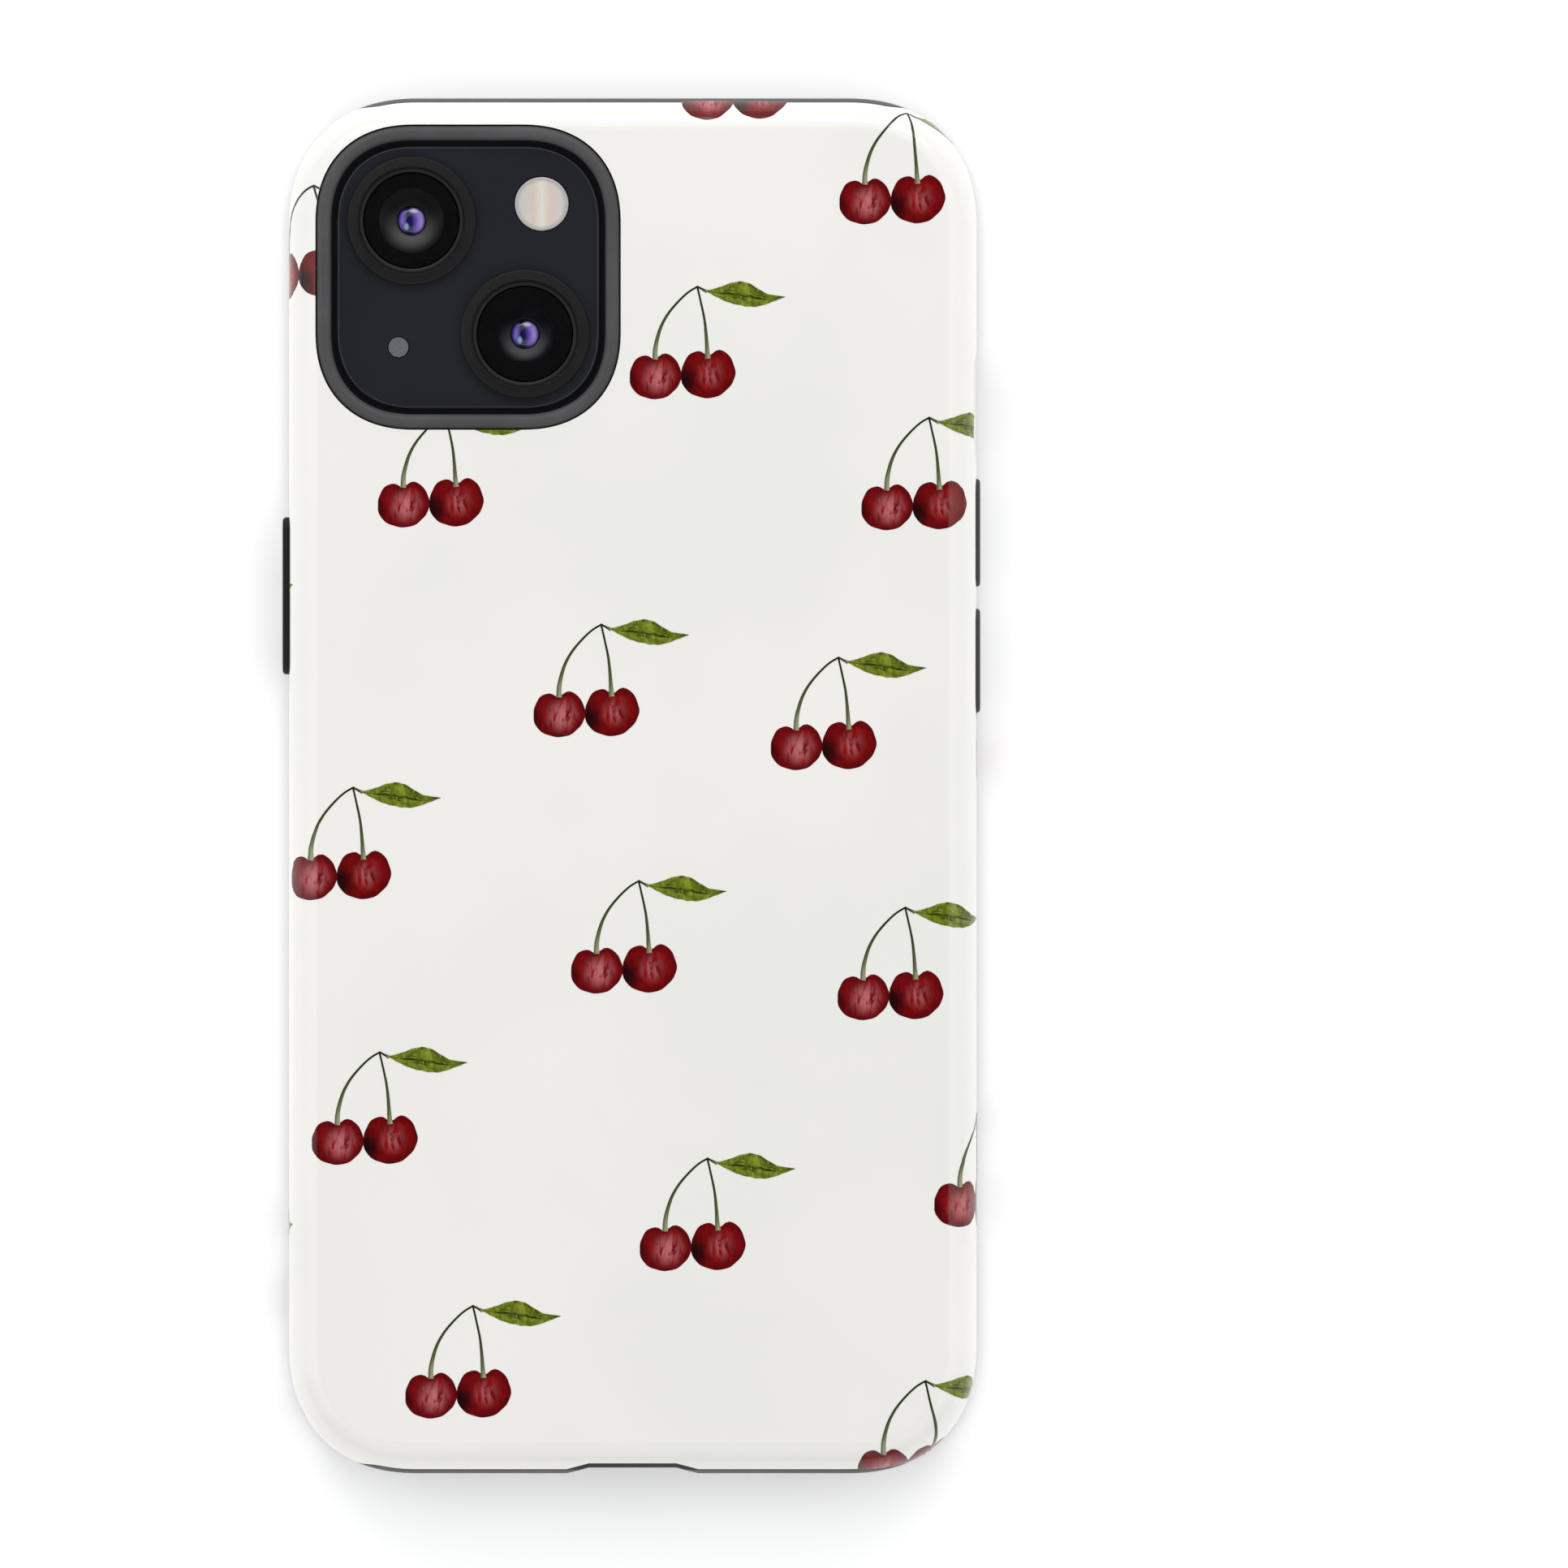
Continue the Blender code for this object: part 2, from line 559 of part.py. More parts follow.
def make_ring_switch(band, shell, liner):
    """The slider that silences the phone, in its slot, seen through a window in the case."""
    root = side_frame("ring_axis", "right", TOP_END - RING_FROM_TOP, PHONE_FRONT + KEY_LINE)
    middle = RING_THROW / 2
    knob = oblong("ring_slider", RING_KNOB, -1.8 * MM, RING_KNOB_RISE, "band_metal", 0.12 * MM)
    knob.location.x = middle
    body = plate("ring_switch", (3.8 * MM, 7.6 * MM), 0.4 * MM, -3.1 * MM, -2.0 * MM, "steel", steps=2)
    slot = plate("ring_slot", RING_SLOT, 0.7 * MM, -3 * MM, 1 * MM, steps=SMALL_STEPS)
    window = plate(
        "ring_window", RING_WINDOW, RING_WINDOW_CORNER, 0, 4 * MM, steps=SMALL_STEPS
    )
    dish = scoop("ring_scoop", RING_WINDOW, RING_WINDOW_CORNER, SMALL_STEPS, CORNER_POWER)
    window.location.x = dish.location.x = -RING_WINDOW_SHIFT
    hang(root, knob, body, slot, window, dish)
    cut(band, slot)
    cut(liner, window)
    cut(shell, window, dish)


def make_tray(band):
    """The card tray, its card and the reader behind it."""
    thick, long, deep = TRAY_PLATE
    middle = BOARD_TOP + READER_GAP + READER[0] / 2
    root = side_frame("tray_axis", "right", TOP_END - TRAY_FROM_TOP, middle)
    tray = oblong("card_tray", TRAY_FACE, -1.2 * MM, 0, "band_metal")
    shelf = plate("tray_shelf", (thick, long), 0.1 * MM, -deep, -1 * MM, steps=1)
    card_top = -deep + 1.2 * MM
    well_size = (3 * thick, CARD[1] + 2 * SEAT_GAP)
    well = plate(
        "tray_well", well_size, 0.1 * MM, card_top - SEAT_GAP, card_top + CARD[2] + SEAT_GAP, steps=1
    )
    card = plate("sim_card", CARD[:2], 0.1 * MM, card_top, card_top + CARD[2], "card_plastic", steps=1)
    back = -deep - READER_SPACE - READER_WALL
    reader = plate("card_reader", READER, 0.3 * MM, back, -BEHIND_BAND, "steel", steps=2)
    hollow = (READER[0] - 2 * READER_WALL, READER[1] - 2 * READER_WALL)
    throat = plate("reader_throat", hollow, 0.2 * MM, back + READER_WALL, 0, steps=1)
    mouth = (TRAY_FACE[0] + 2 * SEAT_GAP, TRAY_FACE[1] + 2 * SEAT_GAP)
    slot = oblong("tray_slot", mouth, -3 * MM, 1 * MM)
    hang(root, tray, shelf, well, card, reader, throat, slot)
    join(tray, shelf)
    cut(tray, well)
    cut(reader, throat)
    cut(band, slot)


def make_bottom_end(band, shell, liner):
    """The charging port, its openings in the case, the sound holes and the two screws."""
    root = side_frame("bottom_axis", "bottom", 0)
    front = -BEHIND_BAND
    port = oblong("charging_port", PORT_BODY, front - PORT_DEPTH - PORT_WALL, front, "steel")
    socket = oblong("port_socket", PORT_MOUTH, front - PORT_DEPTH, 1 * MM)
    window = oblong("port_window", PORT_WINDOW, 0, 4 * MM)
    hang(root, port, socket, window)
    cut(port, socket)
    cut(band, socket)
    cut(liner, window)

    face = -CASE_LENGTH / 2
    trapezoid = [
        (-NOTCH_MOUTH - 2 * MM, face - 0.56 * MM),
        (NOTCH_MOUTH + 2 * MM, face - 0.56 * MM),
        (NOTCH_FLOOR, face + NOTCH_DEPTH),
        (-NOTCH_FLOOR, face + NOTCH_DEPTH),
    ]
    notch = prism("port_notch", trapezoid, -1 * MM, RIM_TOP)
    cut(liner, notch)
    cut(shell, notch)

    for side, sign in {"left": -1, "right": 1}.items():
        slot = oblong(f"sound_window_{side}", SOUND_WINDOW, 0, 4 * MM)
        slot.location.x = sign * SOUND_MIDDLE
        hang(root, slot)
        cut(liner, slot)
        mesh_size = [length - 2 * SOUND_MESH_MARGIN for length in SOUND_WINDOW]
        mesh = oblong(f"sound_mesh_{side}", mesh_size, front - SOUND_MESH, front, "black_plastic")
        mesh.location.x = sign * SOUND_MIDDLE
        hang(root, mesh)
        for number in range(SOUND_HOLES):
            hole = disc(f"sound_hole_{side}_{number}", SOUND_HOLE, -3 * MM, 1 * MM, steps=10)
            hole.location.x = sign * SOUND_MIDDLE + (number - (SOUND_HOLES - 1) / 2) * SOUND_PITCH
            hang(root, hole)
            cut(band, hole)
        bore = disc(f"screw_bore_{side}", SCREW_RADIUS + SEAT_GAP, -3 * MM, 1 * MM, steps=12)
        screw = disc(f"bottom_screw_{side}", SCREW_RADIUS, -2.6 * MM, -0.1 * MM, "steel", steps=12)
        recess = disc(f"screw_recess_{side}", 0.36 * MM, -0.6 * MM, 0.5 * MM, steps=5)
        for piece in (bore, screw, recess):
            piece.location.x = sign * BOTTOM_SCREW_ALONG
        hang(root, bore, screw, recess)
        cut(band, bore)
        cut(screw, recess)


# --- The phone


def phone_layer(name, inset, low, high, finish=None, **edges):
    size = (PHONE_WIDTH - 2 * inset, PHONE_LENGTH - 2 * inset)
    return plate(name, size, PHONE_CORNER - inset, low, high, finish, **edges)


def make_band():
    """The metal band with the plate that carries the back glass."""
    band = phone_layer(
        "band", 0, BAND_LOW, BAND_HIGH, "band_metal", foot=BAND_FRONT_EDGE, crown=BAND_BACK_EDGE
    )
    inside = phone_layer("band_inside", BAND_WALL, DISPLAY_SEAT - 0.5 * MM, PLATE_INNER)
    border = GLASS_BORDER - SEAT_GAP
    front_seat = phone_layer("front_seat", border, -1 * MM, DISPLAY_SEAT)
    back_seat = phone_layer("back_seat", border, BACK_SEAT, CASE_BACK)
    cut(band, inside, front_seat, back_seat)
    return band


def make_strips(band):
    """Four insulating strips, each set in a groove across the band."""
    groove_size = [side + 2 * SEAT_GAP for side in STRIP_SIZE]
    for side in ("left", "right"):
        for end, sign in {"low": -1, "high": 1}.items():
            along = sign * (TOP_END - PHONE_CORNER - STRIP_SPACE)
            root = side_frame(f"strip_axis_{side}_{end}", side, along)
            name = f"aerial_strip_{side}_{end}"
            strip = oblong(name, STRIP_SIZE, -STRIP_DEPTH, 0, "black_plastic")
            groove = oblong(f"{name}_groove", groove_size, -STRIP_DEPTH - SEAT_GAP, 1 * MM)
            hang(root, strip, groove)
            cut(band, groove)


def make_panes():
    back = phone_layer("back_glass", GLASS_BORDER, PHONE_BACK - PANE, PHONE_BACK, "back_glass")
    front = phone_layer("display_glass", GLASS_BORDER, PHONE_FRONT, PHONE_FRONT + PANE, "display_glass")
    slot = oblong("ear_slot", EAR_SLOT, -1 * MM, 3 * MM)
    at(slot, (0, TOP_END - EAR_SLOT_FROM_TOP))
    cut(front, slot)
    panel = phone_layer("display_panel", PANEL_BORDER, PANEL_LOW, PANEL_LOW + PANEL, "black_plastic")
    notch = plate("display_notch", DISPLAY_NOTCH, 1.5 * MM, -1 * MM, 5 * MM, steps=3)
    at(notch, (0, TOP_END - DISPLAY_NOTCH[1] / 2))
    cut(panel, notch)
    return back


def make_camera(name, band, back, plateau):
    """One rear camera: module, barrel with its cone, front element, cover glass and ring."""
    centre = LENS_CENTRES[name]
    cone = CONE_RADII[name]
    face = PLATEAU_TOP + 0.15 * MM  # the barrel's front face
    throat = PLATE_INNER + 1.3 * MM
    barrel = turned(
        f"{name}_lens_barrel",
        [
            (PUPIL + 0.05 * MM, PLATE_INNER),
            (LENS_BORE - 0.15 * MM, PLATE_INNER),
            (LENS_BORE - 0.15 * MM, face),
            (cone, face),
            (PUPIL + 0.05 * MM, throat),
        ],
        "black_plastic",
    )
    dome = [(0, PLATE_INNER + 0.3 * MM), (PUPIL - 0.05 * MM, PLATE_INNER + 0.3 * MM)]
    for step in range(5):
        angle = math.pi / 2 * step / 4
        dome.append(((PUPIL - 0.05 * MM) * math.cos(angle), throat + 0.6 * MM * math.sin(angle)))
    dome[-1] = (0, dome[-1][1])
    element = turned(f"{name}_front_element", dome, "lens_coating", steps=20)
    cover = disc(f"{name}_cover_glass", LENS_BORE - 0.15 * MM, face + 0.1 * MM, face + 0.4 * MM, "lens_glass")
    foot = PLATEAU_TOP + SEAT_GAP / 2
    ring = turned(
        f"{name}_lens_ring",
        [
            (LENS_BORE, foot),
            (LENS_RING_RADIUS, foot),
            (LENS_RING_RADIUS, foot + LENS_RING_RISE * 0.45),
            (LENS_RING_RADIUS - LENS_RING_BAND * 0.12, foot + LENS_RING_RISE * 0.7),
            (LENS_BORE + LENS_RING_BAND * 0.47, foot + LENS_RING_RISE),
            (LENS_BORE + LENS_RING_BAND * 0.35, foot + LENS_RING_RISE),
            (LENS_BORE, foot + LENS_RING_RISE * 0.72),
        ],
        "band_metal",
        steps=32,
    )
    span = (-MODULE_SIDE / 2, MODULE_SIDE / 2)
    module = block(f"{name}_camera_module", span, span, INSIDE_LOW, INSIDE_HIGH, "black_plastic")
    bore = disc(f"{name}_bore", LENS_BORE, BAND_MIDDLE, RIM_TOP)
    for piece in (barrel, element, cover, ring, module, bore):
        at(piece, centre)
    cut(band, bore)
    cut(back, bore)
    cut(plateau, bore)


def make_camera_corner(band, back):
    plateau = plate(
        "camera_plateau",
        (PLATEAU_SIDE, PLATEAU_SIDE),
        PLATEAU_CORNER,
        PLATEAU_LOW,
        PLATEAU_TOP,
        "back_glass",
        crown=PLATEAU_ROUND,
    )
    at(plateau, CAMERA_CENTRE)
    for name in LENS_CENTRES:
        make_camera(name, band, back, plateau)
    round_pieces = {
        # name: centre, radius, low, high, finish
        "flash_lens": (FLASH_CENTRE, FLASH_RADIUS, PLATEAU_LOW, PLATEAU_TOP + 0.05 * MM, "flash_diffuser"),
        "flash_lamp": (FLASH_CENTRE, FLASH_RADIUS - 0.4 * MM, INSIDE_HIGH, PHONE_BACK, "card_plastic"),
        "rear_microphone": (MIC_CENTRE, MIC_RADIUS, INSIDE_HIGH, PLATEAU_TOP - 0.1 * MM, "steel"),
    }
    for name, (centre, radius, low, high, finish) in round_pieces.items():
        at(disc(name, radius, low, high, finish, steps=24), centre)
    for name, (centre, radius) in {
        "flash_bore": (FLASH_CENTRE, FLASH_RADIUS + SEAT_GAP),
        "mic_bore": (MIC_CENTRE, MIC_RADIUS + SEAT_GAP),
    }.items():
        bore = at(disc(name, radius, BAND_MIDDLE, RIM_TOP, steps=24), centre)
        cut(band, bore)
        cut(back, bore)
        cut(plateau, bore)


def from_top(distance, length):
    return (TOP_END - distance - length, TOP_END - distance)


def from_bottom(distance, length):
    return (BOTTOM_END + distance, BOTTOM_END + distance + length)


def make_board(board_x):
    """The logic board with its shield can and four screws."""
    board_y = from_top(BOARD_FROM_TOP, BOARD_LENGTH)
    board = block("logic_board", board_x, board_y, INSIDE_LOW, BOARD_TOP, "circuit_board")
    foot = BOARD_TOP + SEAT_GAP
    shield_x = (board_x[0] + SHIELD_MARGIN, board_x[1] - SHIELD_MARGIN)
    shield_y = from_top(SHIELD_FROM_TOP, SHIELD_LENGTH)
    block("board_shield", shield_x, shield_y, foot, foot + SHIELD_DEPTH, "steel")
    shank, head, inset = [BOARD_SCREW[size] for size in ("shank", "head", "inset")]
    crown = foot + BOARD_SCREW["rise"]
    corners = [(x, y) for y in (board_y[1] - inset, board_y[0] + inset)
               for x in (board_x[0] + inset, board_x[1] - inset)]
    for number, place in enumerate(corners, 1):
        cut(board, at(disc(f"board_hole_{number}", shank + SEAT_GAP, 0, BAND_MIDDLE, steps=12), place))
        profile = [(0, INSIDE_LOW), (shank, INSIDE_LOW), (shank, foot), (head, foot), (head, crown)]
        at(turned(f"board_screw_{number}", profile + [(0, crown)], "steel", steps=12), place)


def make_insides():
    """Battery, boards, motor, speakers, front camera and the charging coil."""
    board_x = (INNER_HALF - SIDE_SPACE - BOARD_WIDTH, INNER_HALF - SIDE_SPACE)
    make_board(board_x)
    battery_x = (-(INNER_HALF - SIDE_SPACE), board_x[0] - CELL_SPACE)
    battery_y = from_bottom(BATTERY_FROM_BOTTOM, BATTERY_LENGTH)
    block("battery", battery_x, battery_y, INSIDE_LOW, BATTERY_TOP, "battery_wrap", 1.5 * MM)

    beside = (PORT_BODY[0] / 2 + PORT_SPACE, INNER_HALF - END_SPACE)
    haptic_y = from_bottom(BOTTOM_PARTS_FROM_END, HAPTIC_LENGTH)
    speaker_y = from_bottom(BOTTOM_PARTS_FROM_END, SPEAKER_LENGTH)
    block("haptic_motor", (-beside[1], -beside[0]), haptic_y, INSIDE_LOW, PART_TOP, "steel")
    block("loudspeaker", beside, speaker_y, INSIDE_LOW, PART_TOP, "black_plastic")
    port_end = BEHIND_BAND + PORT_DEPTH + PORT_WALL
    width, length = DOCK_SIZE
    dock_y = from_bottom(port_end + DOCK_SPACE, length)
    dock_top = INSIDE_LOW + DOCK_DEPTH
    block("dock_board", (-width / 2, width / 2), dock_y, INSIDE_LOW, dock_top, "circuit_board", 0.4 * MM)

    top_y = from_top(TOP_PARTS_FROM_END, TOP_PARTS_LENGTH)
    for name, (width, middle) in TOP_PARTS.items():
        span = (middle - width / 2, middle + width / 2)
        block(name, span, top_y, INSIDE_LOW, PART_TOP, "black_plastic")

    low = INSIDE_HIGH - COIL_DEPTH
    for name, (inner, outer), finish in (
        ("charging_coil", COIL_RADII, "copper"),
        ("magnet_ring", MAGNET_RADII, "magnet"),
    ):
        section = [(inner, low), (outer, low), (outer, INSIDE_HIGH), (inner, INSIDE_HIGH)]
        at(turned(name, section, finish), COIL_CENTRE)


def main():
    clear_scene()
    shell = make_shell()
    liner = make_liner()
    band = make_band()
    back = make_panes()
    make_camera_corner(band, back)
    make_key("volume_up", "right", VOLUME_UP, band, shell, liner)
    make_key("volume_down", "right", VOLUME_DOWN, band, shell, liner)
    make_key("power", "left", POWER, band, shell, liner)
    make_ring_switch(band, shell, liner)
    make_tray(band)
    make_bottom_end(band, shell, liner)
    make_strips(band)
    add_rim(liner)
    make_insides()


main()
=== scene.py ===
import math

import bmesh
import bpy
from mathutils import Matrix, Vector


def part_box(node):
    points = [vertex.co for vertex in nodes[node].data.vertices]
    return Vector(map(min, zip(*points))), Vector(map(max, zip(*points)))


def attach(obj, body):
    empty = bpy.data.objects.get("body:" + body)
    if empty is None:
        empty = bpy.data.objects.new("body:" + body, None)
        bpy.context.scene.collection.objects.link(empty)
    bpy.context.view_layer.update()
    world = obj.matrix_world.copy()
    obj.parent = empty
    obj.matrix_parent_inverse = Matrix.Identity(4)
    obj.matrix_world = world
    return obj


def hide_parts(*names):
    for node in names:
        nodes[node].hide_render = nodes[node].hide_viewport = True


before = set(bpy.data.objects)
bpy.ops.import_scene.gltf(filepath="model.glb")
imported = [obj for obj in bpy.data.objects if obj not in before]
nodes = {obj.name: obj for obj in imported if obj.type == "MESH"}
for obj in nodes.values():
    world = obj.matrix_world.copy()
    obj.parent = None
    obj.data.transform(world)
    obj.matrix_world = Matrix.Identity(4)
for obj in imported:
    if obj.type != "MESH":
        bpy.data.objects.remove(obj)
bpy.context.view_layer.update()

metre = 0.001  # pieces are modelled in millimetres, then brought to the frame's metres
phone = "phone_in_case"  # the body that everything but the keys rides on
squareRound = 0.547  # bevel profile of the case's corners, a little squarer than a circle
plainRound = 0.5
leftSide, rightSide, bottomEnd = (0, -90, 0), (0, 90, 0), (90, 0, 0)  # turns that face +Z outwards
near, nearest = 0.002, 0.0005  # how close a point is to a level or a ring that it counts as on
fullTurn = 2 * math.pi
sharpTurn = 0.7  # radians between two faces at an edge that gets a round
mergeGap = 0.012


def boxOf(node):
    low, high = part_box(node)
    return [value / metre for value in low], [value / metre for value in high]


def middleOf(node):
    return [(a + b) / 2 for a, b in zip(*boxOf(node))]


phoneSide, phoneEnd = boxOf("band")[1][:2]


# Modelling helpers

def selectOnly(*objs):
    if bpy.context.object and bpy.context.object.mode == "EDIT":
        bpy.ops.object.mode_set(mode="OBJECT")
    bpy.ops.object.select_all(action="DESELECT")
    for obj in objs:
        obj.select_set(True)
    if objs:
        bpy.context.view_layer.objects.active = objs[0]


def named(name):
    obj = bpy.context.object
    obj.name = obj.data.name = name
    bpy.ops.object.transform_apply(location=True, rotation=True, scale=True)
    return obj


def pick(obj, kind, test):  # opens the piece in edit mode with what passes the test selected
    selectOnly(obj)
    bpy.ops.object.mode_set(mode="EDIT")
    bpy.ops.mesh.select_mode(type=kind)
    bpy.ops.mesh.select_all(action="DESELECT")
    mesh = bmesh.from_edit_mesh(obj.data)
    mesh.normal_update()
    for item in {"VERT": mesh.verts, "EDGE": mesh.edges, "FACE": mesh.faces}[kind]:
        if test(item):
            item.select_set(True)
    bmesh.update_edit_mesh(obj.data)


def done():
    bpy.ops.object.mode_set(mode="OBJECT")


def upright(edge):
    a, b = [vert.co for vert in edge.verts]
    return abs(a.z - b.z) > near and (a.xy - b.xy).length < near


def cornerAt(level):
    return lambda edge: edge.calc_face_angle(0) > sharpTurn and all(
        abs(vert.co.z - level) < near for vert in edge.verts)


def stretch(obj, factor):
    selectOnly(obj)
    obj.scale.z = factor
    bpy.ops.object.transform_apply(location=False, rotation=False, scale=True)


def roundEdge(obj, level, across, down=None, steps=6, profile=plainRound):
    squash = across / (down or across)
    if squash != 1:
        stretch(obj, squash)
    pick(obj, "EDGE", cornerAt(level * squash))
    bpy.ops.mesh.bevel(offset=across, segments=steps, profile=profile, clamp_overlap=False)
    done()
    if squash != 1:
        stretch(obj, 1 / squash)


def roundedBlock(name, low, high, corner, crown=None, foot=None, cornerSteps=20, edgeSteps=8,
                 profile=squareRound, footProfile=plainRound):
    selectOnly()
    size = [b - a for a, b in zip(low, high)]
    middle = [(a + b) / 2 for a, b in zip(low, high)]
    bpy.ops.mesh.primitive_cube_add(size=1, location=middle, scale=size)
    obj = named(name)
    pick(obj, "EDGE", upright)
    bpy.ops.mesh.bevel(offset=corner, segments=cornerSteps, profile=profile, clamp_overlap=False)
    bpy.ops.mesh.select_all(action="SELECT")
    bpy.ops.mesh.remove_doubles(threshold=mergeGap)  # where two rounds meet
    done()
    if crown:
        roundEdge(obj, high[2], *crown, steps=edgeSteps)
    if foot:
        roundEdge(obj, low[2], *foot, steps=edgeSteps, profile=footProfile)
    return obj


def flatBlock(name, size, corner, low, high, **rounds):  # the same round its own middle
    width, length = size
    return roundedBlock(name, (-width / 2, -length / 2, low), (width / 2, length / 2, high), corner, **rounds)


def oblong(name, size, low, high, **rounds):  # with half-round ends
    rounds = {"cornerSteps": 16, "profile": plainRound, **rounds}
    return flatBlock(name, size, min(size) / 2 - 2 * near, low, high, **rounds)


def drawnBlock(name, points, low, high):  # a many-sided plate, its corners pulled to the points
    selectOnly()
    bpy.ops.mesh.primitive_circle_add(vertices=len(points), radius=1, fill_type="NGON", location=(0, 0, 0))
    obj = named(name)
    for vert, (x, y) in zip(obj.data.vertices, points):
        vert.co = (x, y, low)
    pick(obj, "FACE", lambda face: True)
    bpy.ops.mesh.extrude_region_move(TRANSFORM_OT_translate={"value": (0, 0, high - low)})
    bpy.ops.mesh.select_all(action="SELECT")
    bpy.ops.mesh.normals_make_consistent(inside=False)
    done()
    return obj


def turned(name, profile, steps=72, ring=False):  # radius and height of each ring, built up by extruding
    rings = [point for point in profile if point[0] > 0]
    selectOnly()
    radius, height = rings[0]
    bpy.ops.mesh.primitive_circle_add(vertices=steps, radius=radius, location=(0, 0, height))
    obj = named(name)
    pick(obj, "EDGE", lambda edge: True)
    for (oldRadius, oldHeight), (radius, height) in zip(rings, rings[1:]):
        bpy.ops.mesh.extrude_region_move(TRANSFORM_OT_translate={"value": (0, 0, height - oldHeight)})
        factor = radius / oldRadius
        bpy.ops.transform.resize(value=(factor, factor, 1), center_override=(0, 0, 0))
    done()

    def onRing(point):
        return lambda edge: all(
            abs(vert.co.z - point[1]) < nearest and abs(vert.co.xy.length - point[0]) < nearest
            for vert in edge.verts)

    if ring:
        pick(obj, "EDGE", lambda edge: onRing(rings[0])(edge) or onRing(rings[-1])(edge))
        bpy.ops.mesh.bridge_edge_loops()
    else:
        for end, point in ((0, rings[0]), (-1, rings[-1])):
            pick(obj, "EDGE", onRing(point))
            bpy.ops.mesh.extrude_region_move(
                TRANSFORM_OT_translate={"value": (0, 0, profile[end][1] - point[1])}
            )
            bpy.ops.mesh.merge(type="COLLAPSE")
    bpy.ops.mesh.select_all(action="SELECT")
    bpy.ops.mesh.normals_make_consistent(inside=False)
    done()
    return obj


def arc(centre, radius, start, end, steps=6):  # points of a round in a turned profile, angles in degrees
    turn = [math.radians(start + (end - start) * step / steps) for step in range(steps + 1)]
    return [(centre[0] + radius * math.cos(angle), centre[1] + radius * math.sin(angle)) for angle in turn]


def place(obj, where=(0, 0, 0), turn=(0, 0, 0)):
    selectOnly(obj)
    obj.location = where
    obj.rotation_euler = [math.radians(angle) for angle in turn]
    bpy.ops.object.transform_apply(location=True, rotation=True, scale=False)
    return obj


def modify(obj, kind, **settings):
    selectOnly(obj)
    made = obj.modifiers.new(kind.lower(), kind)
    for setting, value in settings.items():
        setattr(made, setting, value)
    bpy.ops.object.modifier_apply(modifier=made.name)


def cut(obj, *cutters):
    for cutter in cutters:
        modify(obj, "BOOLEAN", operation="DIFFERENCE", solver="EXACT", object=cutter)


def fuse(obj, *others):
    for other in others:
        modify(obj, "BOOLEAN", operation="UNION", solver="EXACT", object=other)
        discard(other)


def discard(*objs):
    for obj in objs:
        bpy.data.objects.remove(obj)


def copyOf(obj, name, where=(0, 0, 0)):
    selectOnly(obj)
    bpy.ops.object.duplicate()
    made = named(name)
    return place(made, where)


def finishPiece(obj, body, finish, stands=(), smooth=32):
    selectOnly(obj)
    bpy.ops.object.shade_smooth_by_angle(angle=math.radians(smooth))
    modify(obj, "WEIGHTED_NORMAL", keep_sharp=True)
    obj.scale = (metre, metre, metre)
    selectOnly(obj)
    bpy.ops.object.transform_apply(location=True, rotation=True, scale=True)
    if finish:
        obj.data.materials.clear()
        obj.data.materials.append(finish)
    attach(obj, body)
    if stands:
        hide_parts(*stands)


# Finishes: a wire carries a socket through plain expressions

class Wire:
    def __init__(self, finish, socket):
        self.finish = finish
        self.socket = socket

    def maths(self, operation, *values):
        return self.finish.node("ShaderNodeMath", {"operation": operation}, dict(enumerate(values)))

    def __add__(self, other):
        return self.maths("ADD", self, other)

    def __sub__(self, other):
        return self.maths("SUBTRACT", self, other)

    def __rsub__(self, other):
        return self.maths("SUBTRACT", other, self)

    def __mul__(self, other):
        return self.maths("MULTIPLY", self, other)

    def __truediv__(self, other):
        return self.maths("DIVIDE", self, other)

    def __pow__(self, other):
        return self.maths("POWER", self, other)

    def __abs__(self):
        return self.maths("ABSOLUTE", self)

    __radd__ = __add__
    __rmul__ = __mul__

    def largest(self, other):
        return self.maths("MAXIMUM", self, other)

    def wave(self):
        return self.maths("SINE", self)

    def rise(self, start, end):  # 0 before start, 1 after end, smooth between
        settings = {"interpolation_type": "SMOOTHSTEP"}
        return self.finish.node("ShaderNodeMapRange", settings, {0: self, 1: start, 2: end})


